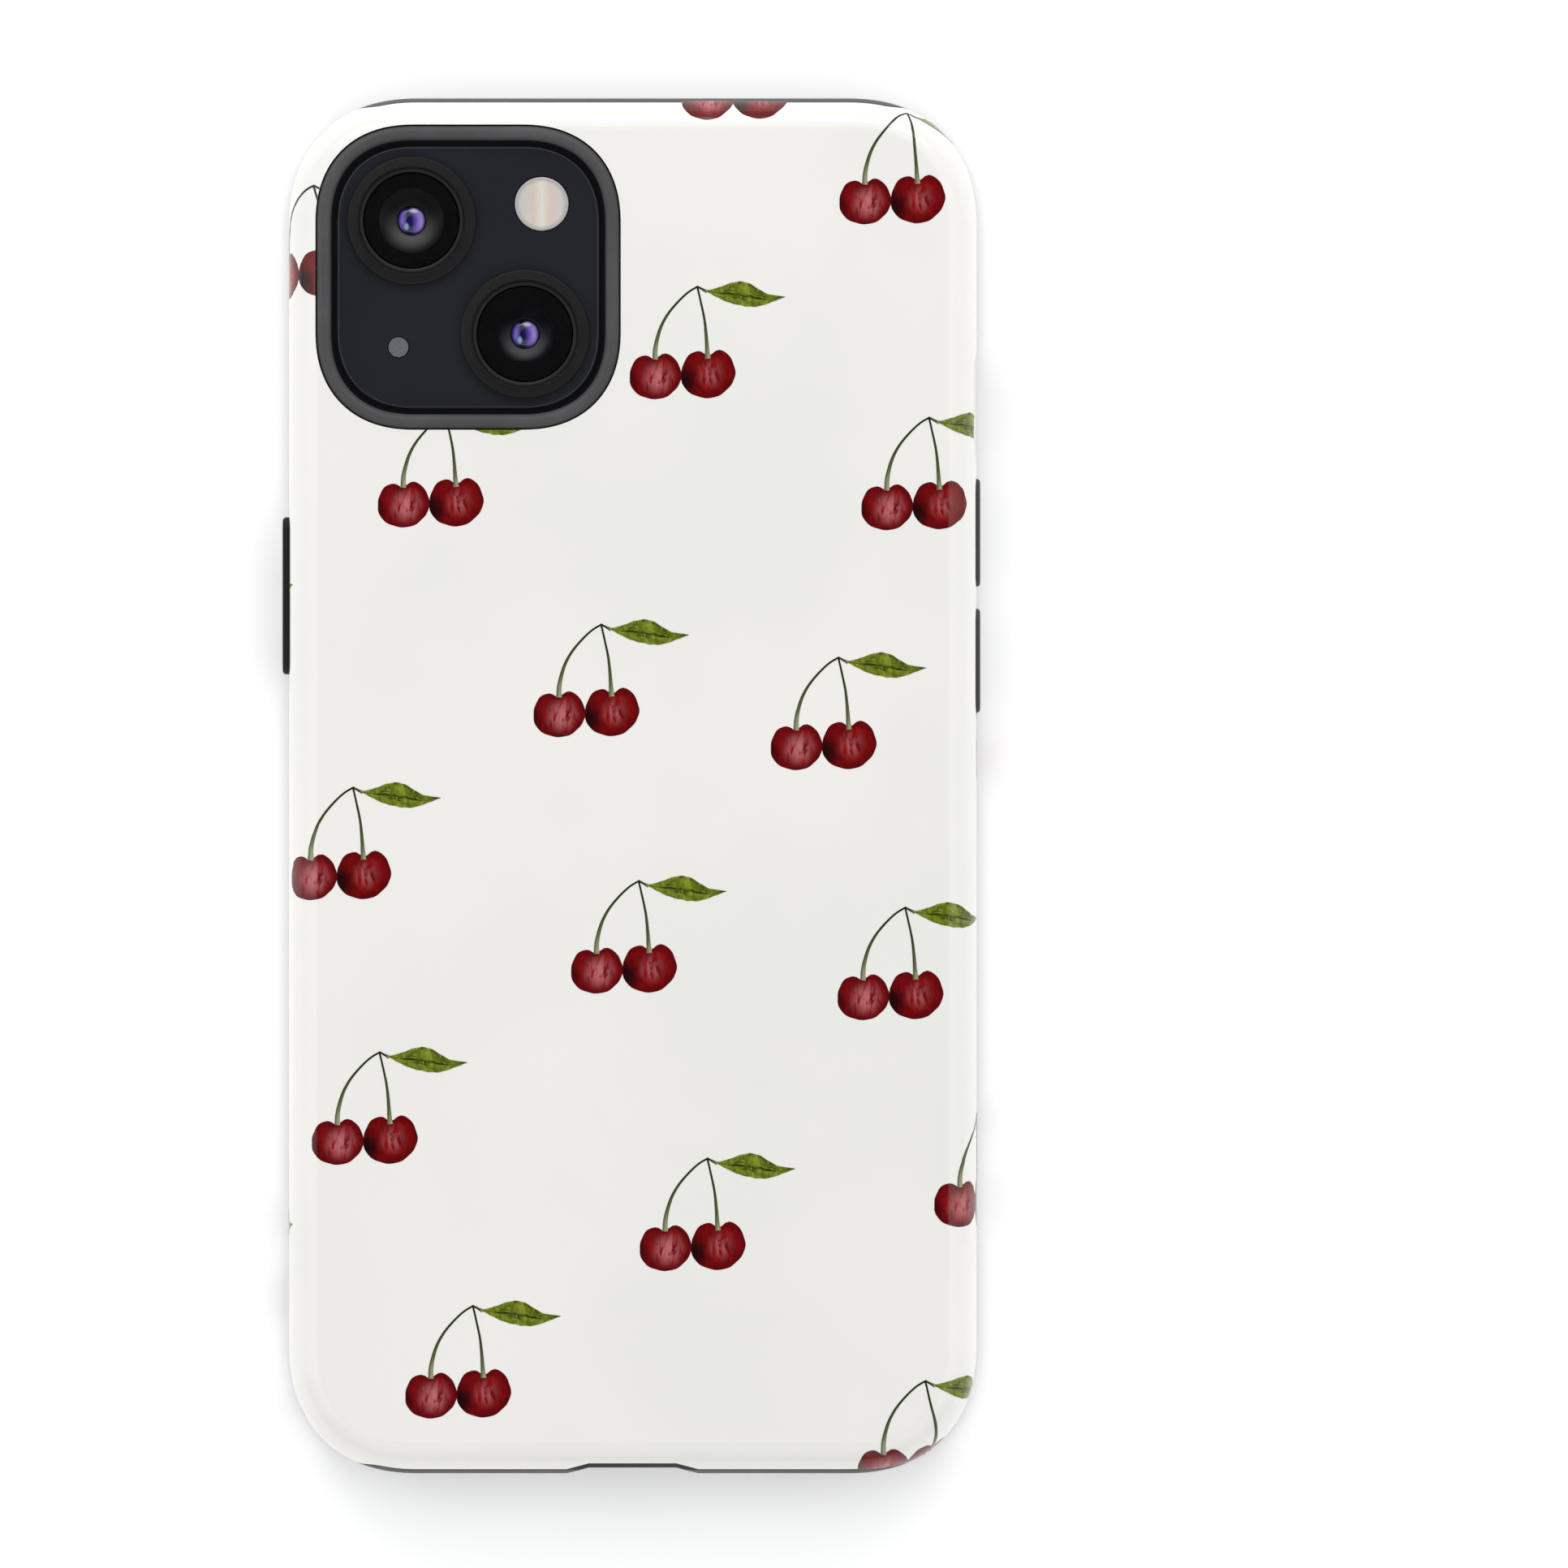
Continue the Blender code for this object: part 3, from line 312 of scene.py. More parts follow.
class Graph:
    def __init__(self, tree, shader):
        self.tree = tree
        self.shader = tree.nodes[shader]

    def fix(self, socket, value):  # a value that is the same all over
        self.shader.inputs[socket].default_value = value

    def feed(self, socket, wire):
        self.tree.links.new(wire.socket, self.shader.inputs[socket])

    def node(self, kind, settings=None, inputs=None, output=0):
        made = self.tree.nodes.new(kind)
        for setting, value in (settings or {}).items():
            if setting == "stops":
                ramp = made.color_ramp
                while len(ramp.elements) < len(value):
                    ramp.elements.new(0.5)
                for element, (position, colour) in zip(ramp.elements, value):
                    element.position = position
                    element.color = (*colour, 1)
            else:
                setattr(made, setting, value)
        for socket, value in (inputs or {}).items():
            if isinstance(value, Wire):
                self.tree.links.new(value.socket, made.inputs[socket])
            else:
                made.inputs[socket].default_value = value
        return Wire(self, made.outputs[output])

    def spot(self, centre=(0, 0, 0), sizes=(1, 1, 1)):  # a place on the piece in millimetres from centre
        origin = self.node("ShaderNodeTexCoord", output=3)
        scale = [1 / metre / size for size in sizes]
        shift = [-value / size for value, size in zip(centre, sizes)]
        return self.node("ShaderNodeMapping", {"vector_type": "POINT"}, {0: origin, 1: shift, 3: scale})

    def printed(self):  # the place within one printed mark
        return self.node("ShaderNodeUVMap", {"uv_map": "print"})

    def parts(self, vector):
        made = self.tree.nodes.new("ShaderNodeSeparateXYZ")
        self.tree.links.new(vector.socket, made.inputs[0])
        return [Wire(self, socket) for socket in made.outputs]

    def around(self, middle, size=1):  # place and distance from an upright axis
        x, y, z = self.parts(self.spot((*middle[:2], 0), (size, size, 1)))
        return x, y, z, (x * x + y * y) ** 0.5

    def turnedMark(self, mark, degrees, sizes):
        inputs = {0: mark, 2: (0, 0, math.radians(degrees)), 3: sizes}
        return self.node("ShaderNodeMapping", {"vector_type": "POINT"}, inputs)

    def noise(self, vector, scale, detail=2.0, roughness=0.5, distortion=0.0):
        inputs = {"Vector": vector, "Scale": scale, "Detail": detail, "Roughness": roughness,
                  "Distortion": distortion}
        return self.node("ShaderNodeTexNoise", inputs=inputs)

    def cells(self, vector, scale):
        return self.node("ShaderNodeTexVoronoi", inputs={"Vector": vector, "Scale": scale})

    def stretched(self, vector, sizes):
        return self.node("ShaderNodeVectorMath", {"operation": "MULTIPLY"}, {0: vector, 1: sizes})

    def ramp(self, value, stops):
        return self.node("ShaderNodeValToRGB", {"stops": stops}, {0: value})

    def mix(self, share, first, second):
        colours = [value if isinstance(value, Wire) else (*value, 1) for value in (first, second)]
        return self.node("ShaderNodeMix", {"data_type": "RGBA"}, {0: share, 6: colours[0], 7: colours[1]}, 2)

    def bump(self, height, depth, strength=1.0):  # depth in millimetres
        inputs = {"Height": height, "Distance": depth * metre, "Strength": strength}
        self.feed("Normal", self.node("ShaderNodeBump", inputs=inputs))


class Finish(Graph):
    def __init__(self, name, colour, roughness=0.4, metallic=0.0, **fixed):
        self.material = bpy.data.materials.new(name)
        self.material.use_nodes = True
        super().__init__(self.material.node_tree, "Principled BSDF")
        self.fix("Base Color", (*colour, 1))
        self.fix("Roughness", roughness)
        self.fix("Metallic", metallic)
        for socket, value in fixed.items():
            self.fix(socket, value)


def awayFrom(x, y, centre, across=1, up=1):  # distance from a centre, with each way's weight
    return ((x - centre[0]) * (x - centre[0]) * across + (y - centre[1]) * (y - centre[1]) * up) ** 0.5


def glossy(coat, level=0.5):
    return {"Coat Weight": coat, "Coat Roughness": 0.03, "Specular IOR Level": level}


def paint(red, green, paintedCyanGlint):  # a screen colour, 0 to 255, as light
    shares = [value / 255 for value in (red, green, paintedCyanGlint)]
    return tuple(share / 12.92 if share < 0.04045 else ((share + 0.055) / 1.055) ** 2.4 for share in shares)


print("helpers ready")


# Camera and light

studio = {
    "aim": (16.55, 0.2),  # where the camera looks down, from the middle of the case
    "distance": 2500,
    "lens": 523.4,
    "roomGlow": 0.86,
    "overheadShade": 0.97,  # how much of the glow is missing straight above
    "horizonGlow": 0.72,  # of the glow, and it grows by risingGlow to the top
    "risingGlow": 0.5,
    "northGlow": 0.1,
    "floorColour": (253, 253, 253),
    "floorGlow": 0.2,  # keeps the shadow round the case faint
    "keyStrength": 0.45,
}

bpy.ops.object.camera_add(location=[value * metre for value in (*studio["aim"], studio["distance"])])
camera = bpy.context.object
camera.name = "camera"
camera.data.lens = studio["lens"]
camera.data.sensor_width = 36
camera.data.clip_start = 0.5
camera.data.clip_end = 20
bpy.context.scene.camera = camera
bpy.context.scene.view_settings.view_transform = "Standard"  # colours as painted


def softLight(name, where, aim, size, power):
    bpy.ops.object.light_add(type="AREA", location=where)
    lamp = bpy.context.object
    lamp.name = name
    lamp.data.shape = "RECTANGLE"
    lamp.data.size, lamp.data.size_y = size
    lamp.data.energy = power * studio["keyStrength"]
    lamp.rotation_euler = (Vector(aim) - Vector(where)).to_track_quat("-Z", "Y").to_euler()
    return lamp


softLight("topStrip", (0, 0.62, 0.42), (0, 0.05, 0), (1.1, 0.24), 4.4)
softLight("leftPanel", (-0.85, 0.1, 0.6), (0, 0, 0), (0.8, 1.2), 2.4)
softLight("rightPanel", (0.9, -0.1, 0.62), (0, 0, 0), (0.8, 1.2), 2.4)
softLight("footPanel", (0.1, -0.9, 0.6), (0, 0, 0), (1.2, 0.6), 1.6)

world = bpy.data.worlds.new("softRoom")
bpy.context.scene.world = world
world.use_nodes = True
room = Graph(world.node_tree, "Background")
room.fix("Color", (0.985, 0.992, 1.0, 1))
_, north, zenith = room.parts(room.node("ShaderNodeTexCoord"))
overhead = zenith.rise(0.88, 0.97) * studio["overheadShade"]
glow = north * studio["northGlow"] + zenith * studio["risingGlow"] + studio["horizonGlow"]
room.feed("Strength", (1 - overhead) * glow * studio["roomGlow"])

selectOnly()
bpy.ops.mesh.primitive_plane_add(size=8, location=(0, 0, -0.00001))
floor = bpy.context.object
floor.name = "floor"
floorGlow = {"Emission Color": (1, 1, 1, 1), "Emission Strength": studio["floorGlow"]}
floorFinish = Finish("paleFloor", paint(*studio["floorColour"]), 0.9, **floorGlow)
floorSpot = floorFinish.spot()
floorFinish.bump(floorFinish.noise(floorSpot, 0.3, 4), 0.02, 0.2)
floor.data.materials.append(floorFinish.material)
print("studio lit")


# Finishes of the case

def shellFinish():
    made = Finish("glossyShell", paint(240, 239, 234), 0.1, **glossy(0.15, 0.4))
    spot = made.spot()
    cloud = made.noise(spot, 0.03, 3)
    made.feed("Base Color", made.mix(cloud.rise(0.35, 0.7), paint(242, 240, 235), paint(237, 236, 231)))
    hairs = made.noise(made.stretched(spot, (0.15, 3.0, 1.0)), 0.9, 5, 0.65)
    made.feed("Roughness", hairs.rise(0.55, 0.8) * 0.05 + cloud * 0.03 + 0.07)
    made.bump(made.noise(spot, 0.35, 2), 0.006, 0.25)
    return made.material


def inkShader(name, colour):
    return Finish(name, colour, 0.11, **glossy(0.12, 0.32))


def cherryInk(name, light, shade, dark, glow, streakTurn):  # dark and glow: place, reach and strength
    made = inkShader(name, light)
    mark = made.printed()
    x, y, z = made.parts(mark)
    x, y = x * 2 - 1, y * 2 - 1
    edge = (x * x + y * y) ** 0.5
    streaks = made.noise(made.turnedMark(mark, streakTurn, (11, 2.6, 1)), 1.0, 4, 0.6, 0.6)
    blot = made.noise(mark, 3.2, 3, 0.6)
    base = made.mix(blot.rise(0.35, 0.7), light, shade)
    base = made.mix(streaks.rise(0.42, 0.64) * 0.7, base, shade)
    heart = awayFrom(x, y, glow, across=1.5)
    shine = (1 - heart.rise(0.05, glow[2])) * streaks.rise(0.34, 0.6)
    base = made.mix(shine * glow[3], base, paint(190, 108, 112))
    base = made.mix(edge.rise(0.6, 1.02) * 0.62, base, paint(78, 6, 10))
    side = 1 - awayFrom(x, y, dark, across=2.2).rise(0.15, dark[2])
    base = made.mix(side * dark[3] * (streaks * 0.5 + 0.75), base, paint(26, 6, 10))
    made.feed("Base Color", base)
    made.bump(streaks, 0.004, 0.2)
    return made.material


def leafInk():
    made = inkShader("leafInk", paint(110, 126, 44))
    mark = made.printed()
    x, y, z = made.parts(mark)
    brush = made.stretched(mark, (14, 2.2, 1))
    streaks = made.noise(brush, 1.0, 5, 0.7, 0.3)
    blot = made.noise(mark, 5, 3, 0.6)
    base = made.mix(streaks.rise(0.38, 0.62), paint(132, 144, 46), paint(88, 102, 24))
    base = made.mix(blot.rise(0.48, 0.66) * 0.85, base, paint(48, 56, 12))
    pale = made.noise(made.turnedMark(mark, -20, (22, 1.6, 1)), 1.0, 2)
    base = made.mix(pale.rise(0.6, 0.7) * 0.6, base, paint(158, 168, 84))
    vein = 1 - abs(y - 0.46 - (x * 9).wave() * 0.02).rise(0.015, 0.1)
    base = made.mix(vein * blot.rise(0.25, 0.55) * 0.9, base, paint(30, 36, 10))
    tip = x.rise(0.86, 1.0) + (1 - x.rise(0.0, 0.06))
    base = made.mix(tip * 0.8, base, paint(40, 48, 20))
    made.feed("Base Color", base)
    made.bump(streaks, 0.004, 0.2)
    return made.material


def stalkInk():
    made = inkShader("stalkInk", paint(60, 66, 36))
    mark = made.printed()
    x, y, z = made.parts(mark)
    streaks = made.noise(made.stretched(mark, (5, 3, 1)), 1.0, 3)
    base = made.ramp(x + (streaks - 0.5) * 0.25, [
        (0.0, paint(26, 30, 18)), (0.35, paint(52, 58, 30)),
        (0.7, paint(92, 98, 62)), (0.92, paint(150, 154, 120))])
    base = made.mix((1 - y.rise(0.15, 0.6)) * 0.6, base, paint(34, 38, 20))
    made.feed("Base Color", base)
    made.bump(streaks, 0.004, 0.2)
    return made.material


def rubberFinish(name, colour, worn, roughness=0.5):
    made = Finish(name, colour, roughness, **{"Specular IOR Level": 0.22})
    spot = made.spot()
    grain = made.cells(spot, 4.5)
    cloud = made.noise(spot, 0.12, 4)
    made.feed("Base Color", made.mix(cloud.rise(0.35, 0.75) * 0.6 + grain * 0.2, colour, worn))
    made.feed("Roughness", cloud * 0.15 + grain * 0.08 + (roughness - 0.1))
    made.bump(grain * 0.6 + made.noise(spot, 9, 2) * 0.4, 0.012, 0.35)
    return made.material


def plateauFinish():
    made = Finish("plateauGlass", paint(30, 31, 38), 0.16, **{"Coat Weight": 0.2})
    spot = made.spot()
    cloud = made.noise(spot, 0.08, 3)
    made.feed("Base Color", made.mix(cloud, paint(32, 33, 38), paint(40, 41, 48)))
    made.feed("Roughness", cloud * 0.08 + made.noise(spot, 1.2, 4) * 0.05 + 0.1)
    made.bump(made.noise(spot, 12, 2), 0.003, 0.15)
    return made.material


def turnedMetal(name, colour, bright, middle, roughness=0.38):
    made = Finish(name, colour, roughness, 0.75)
    x, y, z, radius = made.around(middle)
    lines = (radius * 90).wave() * 0.5 + 0.5
    fleck = made.noise(made.spot(), 6, 3)
    made.feed("Base Color", made.mix(lines * 0.25 + fleck * 0.5, colour, bright))
    made.feed("Roughness", fleck * 0.12 + lines * 0.05 + (roughness - 0.08))
    made.bump(lines, 0.004, 0.3)
    return made.material


def metalFinish(name, colour, bright, roughness=0.32, stretchBy=(1, 1, 1)):
    made = Finish(name, colour, roughness, 1.0)
    spot = made.stretched(made.spot(), stretchBy)
    fleck = made.noise(spot, 7, 3, 0.6)
    cloud = made.noise(spot, 0.15, 3)
    made.feed("Base Color", made.mix(fleck * 0.6 + cloud * 0.3, colour, bright))
    made.feed("Roughness", fleck * 0.15 + cloud * 0.1 + (roughness - 0.12))
    made.bump(fleck, 0.006, 0.3)
    return made.material


def barrelFinish(name, middle, low, high):
    made = Finish(name, paint(3, 3, 4), 0.3, **{"Specular IOR Level": 0.25})
    x, y, z, radius = made.around(middle)
    # painted light: inside the cone the colour lightens from black to grey deeper down and towards the bottom, where
    # light falls on the cone
    depth = 1 - z.rise(low + 1.4, high - 0.15)
    inner = radius.maths("LESS_THAN", radius, 3.52)
    fall = depth * inner * (1 - y.rise(-3.2, 1.5))
    fleck = made.noise(made.spot(), 2.5, 2)
    made.feed("Base Color", made.mix(fall * 0.9, paint(1, 1, 1), paint(112, 112, 112)))
    made.feed("Roughness", fleck * 0.1 + 0.3)
    made.bump(fleck, 0.001, 0.1)
    return made.material


# the front element's colour is a glossy coat over painted reflections, painted glints and painted shade
def coatingWithPaintedReflections(name, middle):
    made = Finish(name, paint(80, 60, 170), 0.04, **{"Coat Weight": 1.0, "Coat Roughness": 0.02})
    x, y, z, radius = made.around(middle, 1.55)
    swirl = made.noise(made.spot((*middle[:2], 0)), 0.9, 2, 0.5, 0.8)
    # painted reflections: across the element the colour runs purple, dark blue, purple and bright lilac, standing in
    # for the room mirrored in the lens
    base = made.ramp(x * 0.5 + 0.5 + (swirl - 0.5) * 0.12, [
        (0.0, paint(84, 62, 176)), (0.16, paint(122, 92, 226)), (0.34, paint(16, 18, 66)), (0.5, paint(44, 34, 104)),
        (0.68, paint(134, 98, 216)), (0.86, paint(184, 150, 248)), (1.0, paint(100, 76, 166))])
    # painted highlights: a cyan glint at the lower left and a white glint near the top
    paintedCyanGlint = 1 - awayFrom(x, y, (-0.36, -0.42), across=2.4).rise(0.1, 0.36)
    base = made.mix(paintedCyanGlint * 0.9, base, paint(150, 214, 246))
    glint = 1 - awayFrom(x, y, (0.16, 0.7), up=3.0).rise(0.12, 0.42)
    base = made.mix(glint * 0.85, base, paint(226, 220, 246))
    # painted shade: darker towards the element's rim
    base = made.mix(radius.rise(0.84, 1.0) * 0.6, base, paint(36, 28, 70))
    made.feed("Base Color", base)
    made.feed("Roughness", swirl * 0.03 + 0.02)
    return made.material


def coverFinish():
    made = Finish("coverGlass", paint(6, 6, 8), 0.02, **{"Alpha": 0.12, "Specular IOR Level": 0.2})
    smear = made.noise(made.spot(), 0.3, 2)
    made.feed("Roughness", smear * 0.04 + 0.01)
    return made.material


def flashFinish(middle):
    glow = {"Subsurface Weight": 0.1, "Subsurface Radius": (metre, metre, metre)}
    made = Finish("flashDiffuser", paint(214, 203, 195), 0.3, **{"Coat Weight": 0.6, **glow})
    x, y, z, radius = made.around(middle)
    band = made.ramp(x * 0.17 + 0.5, [
        (0.0, paint(196, 192, 190)), (0.2, paint(208, 200, 194)), (0.36, paint(214, 198, 186)),
        (0.5, paint(224, 219, 211)), (0.66, paint(214, 198, 188)), (0.84, paint(208, 202, 198)),
        (1.0, paint(190, 188, 187))])
    made.feed("Base Color", made.mix(radius.rise(2.3, 2.75) * 0.8, band, paint(170, 168, 168)))
    made.feed("Roughness", made.noise(made.spot(), 3, 3) * 0.15 + 0.2)
    made.bump(((x * 22).wave() + (y * 22).wave()) * 0.25 + 0.5, 0.01, 0.15)
    return made.material


def grilleFinish(name, colour, hole, pitch=0.34):
    made = Finish(name, colour, 0.4, 0.5)
    x, y, z = made.parts(made.stretched(made.spot(), (1 / pitch,) * 3))
    weave = (x * fullTurn).wave() * (y * fullTurn).wave() + (z * fullTurn).wave() * 0.3
    holes = weave.rise(0.05, 0.45)
    made.feed("Base Color", made.mix(holes, colour, hole))
    made.feed("Roughness", holes * 0.2 + 0.35)
    made.bump(1 - holes, 0.03, 0.5)
    return made.material


def screenFinish():
    made = Finish("screenGlass", paint(5, 5, 6), 0.05, **glossy(0.4))
    spot = made.spot()
    x, y, z = made.parts(spot)
    border = 3.4
    past = (abs(x) - (phoneSide - border)).largest(abs(y) - (phoneEnd - border))
    live = 1 - past.rise(-0.15, 0.15)
    cloud = made.noise(spot, 0.05, 3)
    made.feed("Base Color", made.mix(live, paint(4, 4, 5), paint(13, 14, 18)))
    made.feed("Roughness", cloud.rise(0.4, 0.8) * 0.06 + 0.04)
    made.bump(made.noise(spot, 4, 2), 0.002, 0.1)
    return made.material


def plasticFinish(name, colour, other, roughness=0.45):
    made = Finish(name, colour, roughness)
    spot = made.spot()
    grain = made.noise(spot, 5, 4)
    cloud = made.noise(spot, 0.2, 3)
    made.feed("Base Color", made.mix(cloud * 0.6 + grain * 0.3, colour, other))
    made.feed("Roughness", grain * 0.15 + (roughness - 0.07))
    made.bump(grain, 0.01, 0.3)
    return made.material


def boardFinish():
    made = Finish("circuitBoard", paint(14, 38, 52), 0.45)
    spot = made.spot()
    tiles = made.node("ShaderNodeTexVoronoi", {"distance": "CHEBYCHEV"}, {"Vector": spot, "Scale": 0.6})
    x, y, z = made.parts(spot)
    tracks = ((x * 9).wave() * (made.noise(spot, 0.25, 1) - 0.5)).rise(0.03, 0.07)
    pads = 1 - tiles.rise(0.18, 0.24)
    base = made.mix(tracks * 0.6, paint(14, 38, 52), paint(34, 78, 92))
    made.feed("Base Color", made.mix(pads * 0.8, base, paint(190, 160, 96)))
    made.feed("Metallic", pads * 0.8)
    made.feed("Roughness", 0.5 - pads * 0.2)
    made.bump(tracks * 0.3 + pads, 0.02, 0.4)
    return made.material


def windingFinish(colour, dark, middle, pitch):
    made = Finish("copperWinding", colour, 0.35, 1.0)
    x, y, z, radius = made.around(middle)
    turns = (radius * (fullTurn / pitch)).wave() * 0.5 + 0.5
    made.feed("Base Color", made.mix(turns, dark, colour))
    made.feed("Roughness", 0.5 - turns * 0.2 + made.noise(made.spot(), 2, 2) * 0.1)
    made.bump(turns, 0.05, 0.6)
    return made.material


def magnetFinish(middle):
    made = Finish("magnetSegments", paint(120, 120, 124), 0.4, 0.9)
    x, y, z, radius = made.around(middle)
    gaps = (x.maths("ARCTAN2", y, x) * 18).wave().rise(0.9, 0.98)
    fleck = made.noise(made.spot(), 4, 3)
    base = made.mix(fleck * 0.6, paint(120, 120, 124), paint(146, 146, 150))
    made.feed("Base Color", made.mix(gaps, base, paint(30, 30, 32)))
    made.feed("Roughness", fleck * 0.2 + 0.3)
    made.bump(1 - gaps, 0.05, 0.5)
    return made.material


def wrapFinish():
    made = Finish("batteryWrap", paint(24, 24, 26), 0.55)
    spot = made.spot()
    x, y, z = made.parts(spot)
    crease = made.noise(made.stretched(spot, (0.2, 1.0, 1.0)), 0.5, 4, 0.6)
    tabs = (1 - abs(y + 20).rise(1.8, 2.0)) + (1 - abs(y - 12).rise(1.8, 2.0))
    base = made.mix(crease, paint(20, 20, 22), paint(36, 36, 39))
    made.feed("Base Color", made.mix(tabs * 0.7, base, paint(84, 84, 88)))
    made.feed("Roughness", crease * 0.2 + 0.42)
    made.bump(crease, 0.05, 0.35)
    return made.material


finishes = {
    "shell": shellFinish(),
    "liner": rubberFinish("softLiner", paint(70, 70, 71), paint(86, 86, 87), 0.48),
    "greyPad": rubberFinish("greyPads", paint(62, 64, 67), paint(72, 74, 77), 0.6),
    "darkPad": rubberFinish("darkPad", paint(22, 22, 23), paint(32, 32, 33), 0.6),
    "band": metalFinish("graphiteBand", paint(56, 60, 64), paint(74, 78, 82)),
    "backGlass": plateauFinish(),
    "screen": screenFinish(),
    "plastic": plasticFinish("blackPlastic", paint(18, 18, 19), paint(30, 30, 31)),
    "steel": metalFinish("brushedSteel", paint(168, 168, 170), paint(196, 196, 198), 0.3, (0.3, 4, 1)),
    "card": plasticFinish("cardPlastic", paint(226, 226, 224), paint(214, 214, 212), 0.4),
    "board": boardFinish(),
    "copper": windingFinish(paint(206, 130, 84), paint(110, 58, 34), middleOf("charging_coil"), 0.75),
    "magnet": magnetFinish(middleOf("magnet_ring")),
    "wrap": wrapFinish(),
    "cover": coverFinish(),
    "mesh": grilleFinish("soundMesh", paint(40, 40, 42), paint(6, 6, 7)),
    "microphone": grilleFinish("microphoneMesh", paint(120, 124, 130), paint(88, 92, 98), 0.42),
}
inks = {
    "leftCherry": cherryInk("cherryInkLeft", paint(136, 16, 20), paint(94, 8, 14), (-0.95, -0.15, 0.7, 0.5),
                            (0.12, -0.08, 0.95, 0.95), -20),
    "rightCherry": cherryInk("cherryInkRight", paint(134, 14, 16), paint(98, 8, 12), (-0.82, -0.3, 0.95, 0.95),
                             (0.1, 0.0, 0.75, 0.62), 18),
    "leaf": leafInk(),
    "stalk": stalkInk(),
}
print("finishes made")


# Hard shell

shellMakes = {
    "corner": 14.27,
    "backRound": (3.6, 5.0),  # the back edge's quarter ellipse: across, down
    "innerRound": (2.75, 3.75),
    "wall": 0.77,
    "back": 1.0,
    "gap": 0.15,  # to the soft liner
    "endEdge": 2.4,  # how far the shell comes down over the ends
    "endTop": 28.6,  # half width of the bare end at its back edge
    "endFoot": 33.7,  # and at its front edge
    "endRound": 1.3,
    "notch": (7.3, 4.8, 0.7),  # half widths at the mouth and the floor, and the depth
    "notchStrip": 0.5,  # how much of the liner shows round it
    "scoop": (0.96, 0.35),  # width and depth of the dish around each opening
    "rimSide": 33.05,
    "rimCorner": 10.75,
    "padGap": 0.2,
    "ringWindow": (5.4, 10.0),
    "ringCorner": 1.4,
    "ringRise": 1.9,  # middle of the slider's window over the pads' front edge
}

shellLow, shellHigh = boxOf("outer_shell")
linerHigh = boxOf("inner_liner")[1]
halfWidth, halfLength = linerHigh[0], linerHigh[1]
shellFront, shellBack = shellLow[2], shellHigh[2]
flush = 0.05  # what a cutter runs past a face
cutterDepth = 12  # and how deep the end cutters reach into the case
cameraMiddle = middleOf("camera_plateau")


def caseLayer(name, inset, low, high, **rounds):
    side, end = halfWidth - inset, halfLength - inset
    return roundedBlock(name, (-side, -end, low), (side, end, high), shellMakes["corner"] - inset,
                        cornerSteps=28, edgeSteps=14, **rounds)


def endCutters(name, gap):  # what the bare liner fills at both ends
    top, foot = shellMakes["endTop"] - gap, shellMakes["endFoot"] - gap
    back, front = shellBack - shellMakes["endEdge"] - gap, shellFront - flush - gap
    half = [(foot + 3, -1), (foot + 3, front), (foot, front), (top, back)]
    made = drawnBlock(name, half + [(-x, z) for x, z in reversed(half)], 0, 2 * cutterDepth)
    for x, z in ((top, back), (foot, front)):
        pick(made, "EDGE", lambda edge: upright(edge) and all(
            abs(abs(vert.co.x) - x) < mergeGap and abs(vert.co.y - z) < mergeGap for vert in edge.verts))
        bpy.ops.mesh.bevel(offset=shellMakes["endRound"], segments=8, profile=plainRound, clamp_overlap=False)
        done()
    reach = halfLength - cutterDepth + gap
    far = copyOf(made, name + "Top")
    place(made, (0, -reach, 0), bottomEnd)
    place(far, (0, reach + 2 * cutterDepth, 0), bottomEnd)
    return made, far


holeReach = (-2.2, 2)  # how far a hole's cutter goes in and out
ringHeight = boxOf("volume_up_pad")[0][2] + shellMakes["ringRise"]
# a dish keeps a narrow flat floor round its hole
dishRound = {"foot": (shellMakes["scoop"][0] - 0.16, shellMakes["scoop"][1]), "edgeSteps": 6, "footProfile": 0.36}


def padOpening(node, turn):  # hole and dish for one pad
    low, high = boxOf(node)
    length, width = high[1] - low[1], high[2] - low[2]
    size = (width + 2 * shellMakes["padGap"], length + 2 * shellMakes["padGap"])
    side = math.copysign(halfWidth, low[0])
    where = (side, (low[1] + high[1]) / 2, (low[2] + high[2]) / 2)
    grow, depth = shellMakes["scoop"]
    hole = place(oblong(node + "Hole", size, *holeReach), where, turn)
    dish = oblong(node + "Dish", [value + 2 * grow for value in size], -depth, 1, **dishRound)
    return hole, place(dish, where, turn)


def ringOpening():
    low, high = boxOf("ring_slider")
    where = (halfWidth, (low[1] + high[1]) / 2, ringHeight)
    size, corner = shellMakes["ringWindow"], shellMakes["ringCorner"]
    grow, depth = shellMakes["scoop"]
    window = place(flatBlock("ringWindow", size, corner, *holeReach, cornerSteps=12), where, rightSide)
    across = [value + 2 * grow for value in size]
    dish = flatBlock("ringDish", across, corner + grow, -depth, 1, cornerSteps=12, **dishRound)
    return window, place(dish, where, rightSide)


openings = [padOpening("volume_up_pad", rightSide), padOpening("volume_down_pad", rightSide),
            padOpening("power_pad", leftSide), ringOpening()]
holes = [hole for hole, dish in openings]
dishes = [dish for hole, dish in openings]
cameraWindow = place(flatBlock("cameraWindow", [shellMakes["rimSide"] + 2 * shellMakes["gap"]] * 2,
                               shellMakes["rimCorner"] + shellMakes["gap"], 8, 12, cornerSteps=28),
                     (cameraMiddle[0], cameraMiddle[1], 0))
mouth, notchFloor, notchDepth = shellMakes["notch"]
notchOver = 0.8 * notchDepth  # the cutter's sides run on outwards
notchHalf = [(mouth + 2, -halfLength - notchOver), (notchFloor, notchDepth - halfLength)]
portNotch = drawnBlock("portNotch", notchHalf + [(-x, y) for x, y in reversed(notchHalf)], -1, 12)
shellNotch = copyOf(portNotch, "shellNotch", (0, shellMakes["notchStrip"], 0))
shellEnds = endCutters("shellEnd", 0)

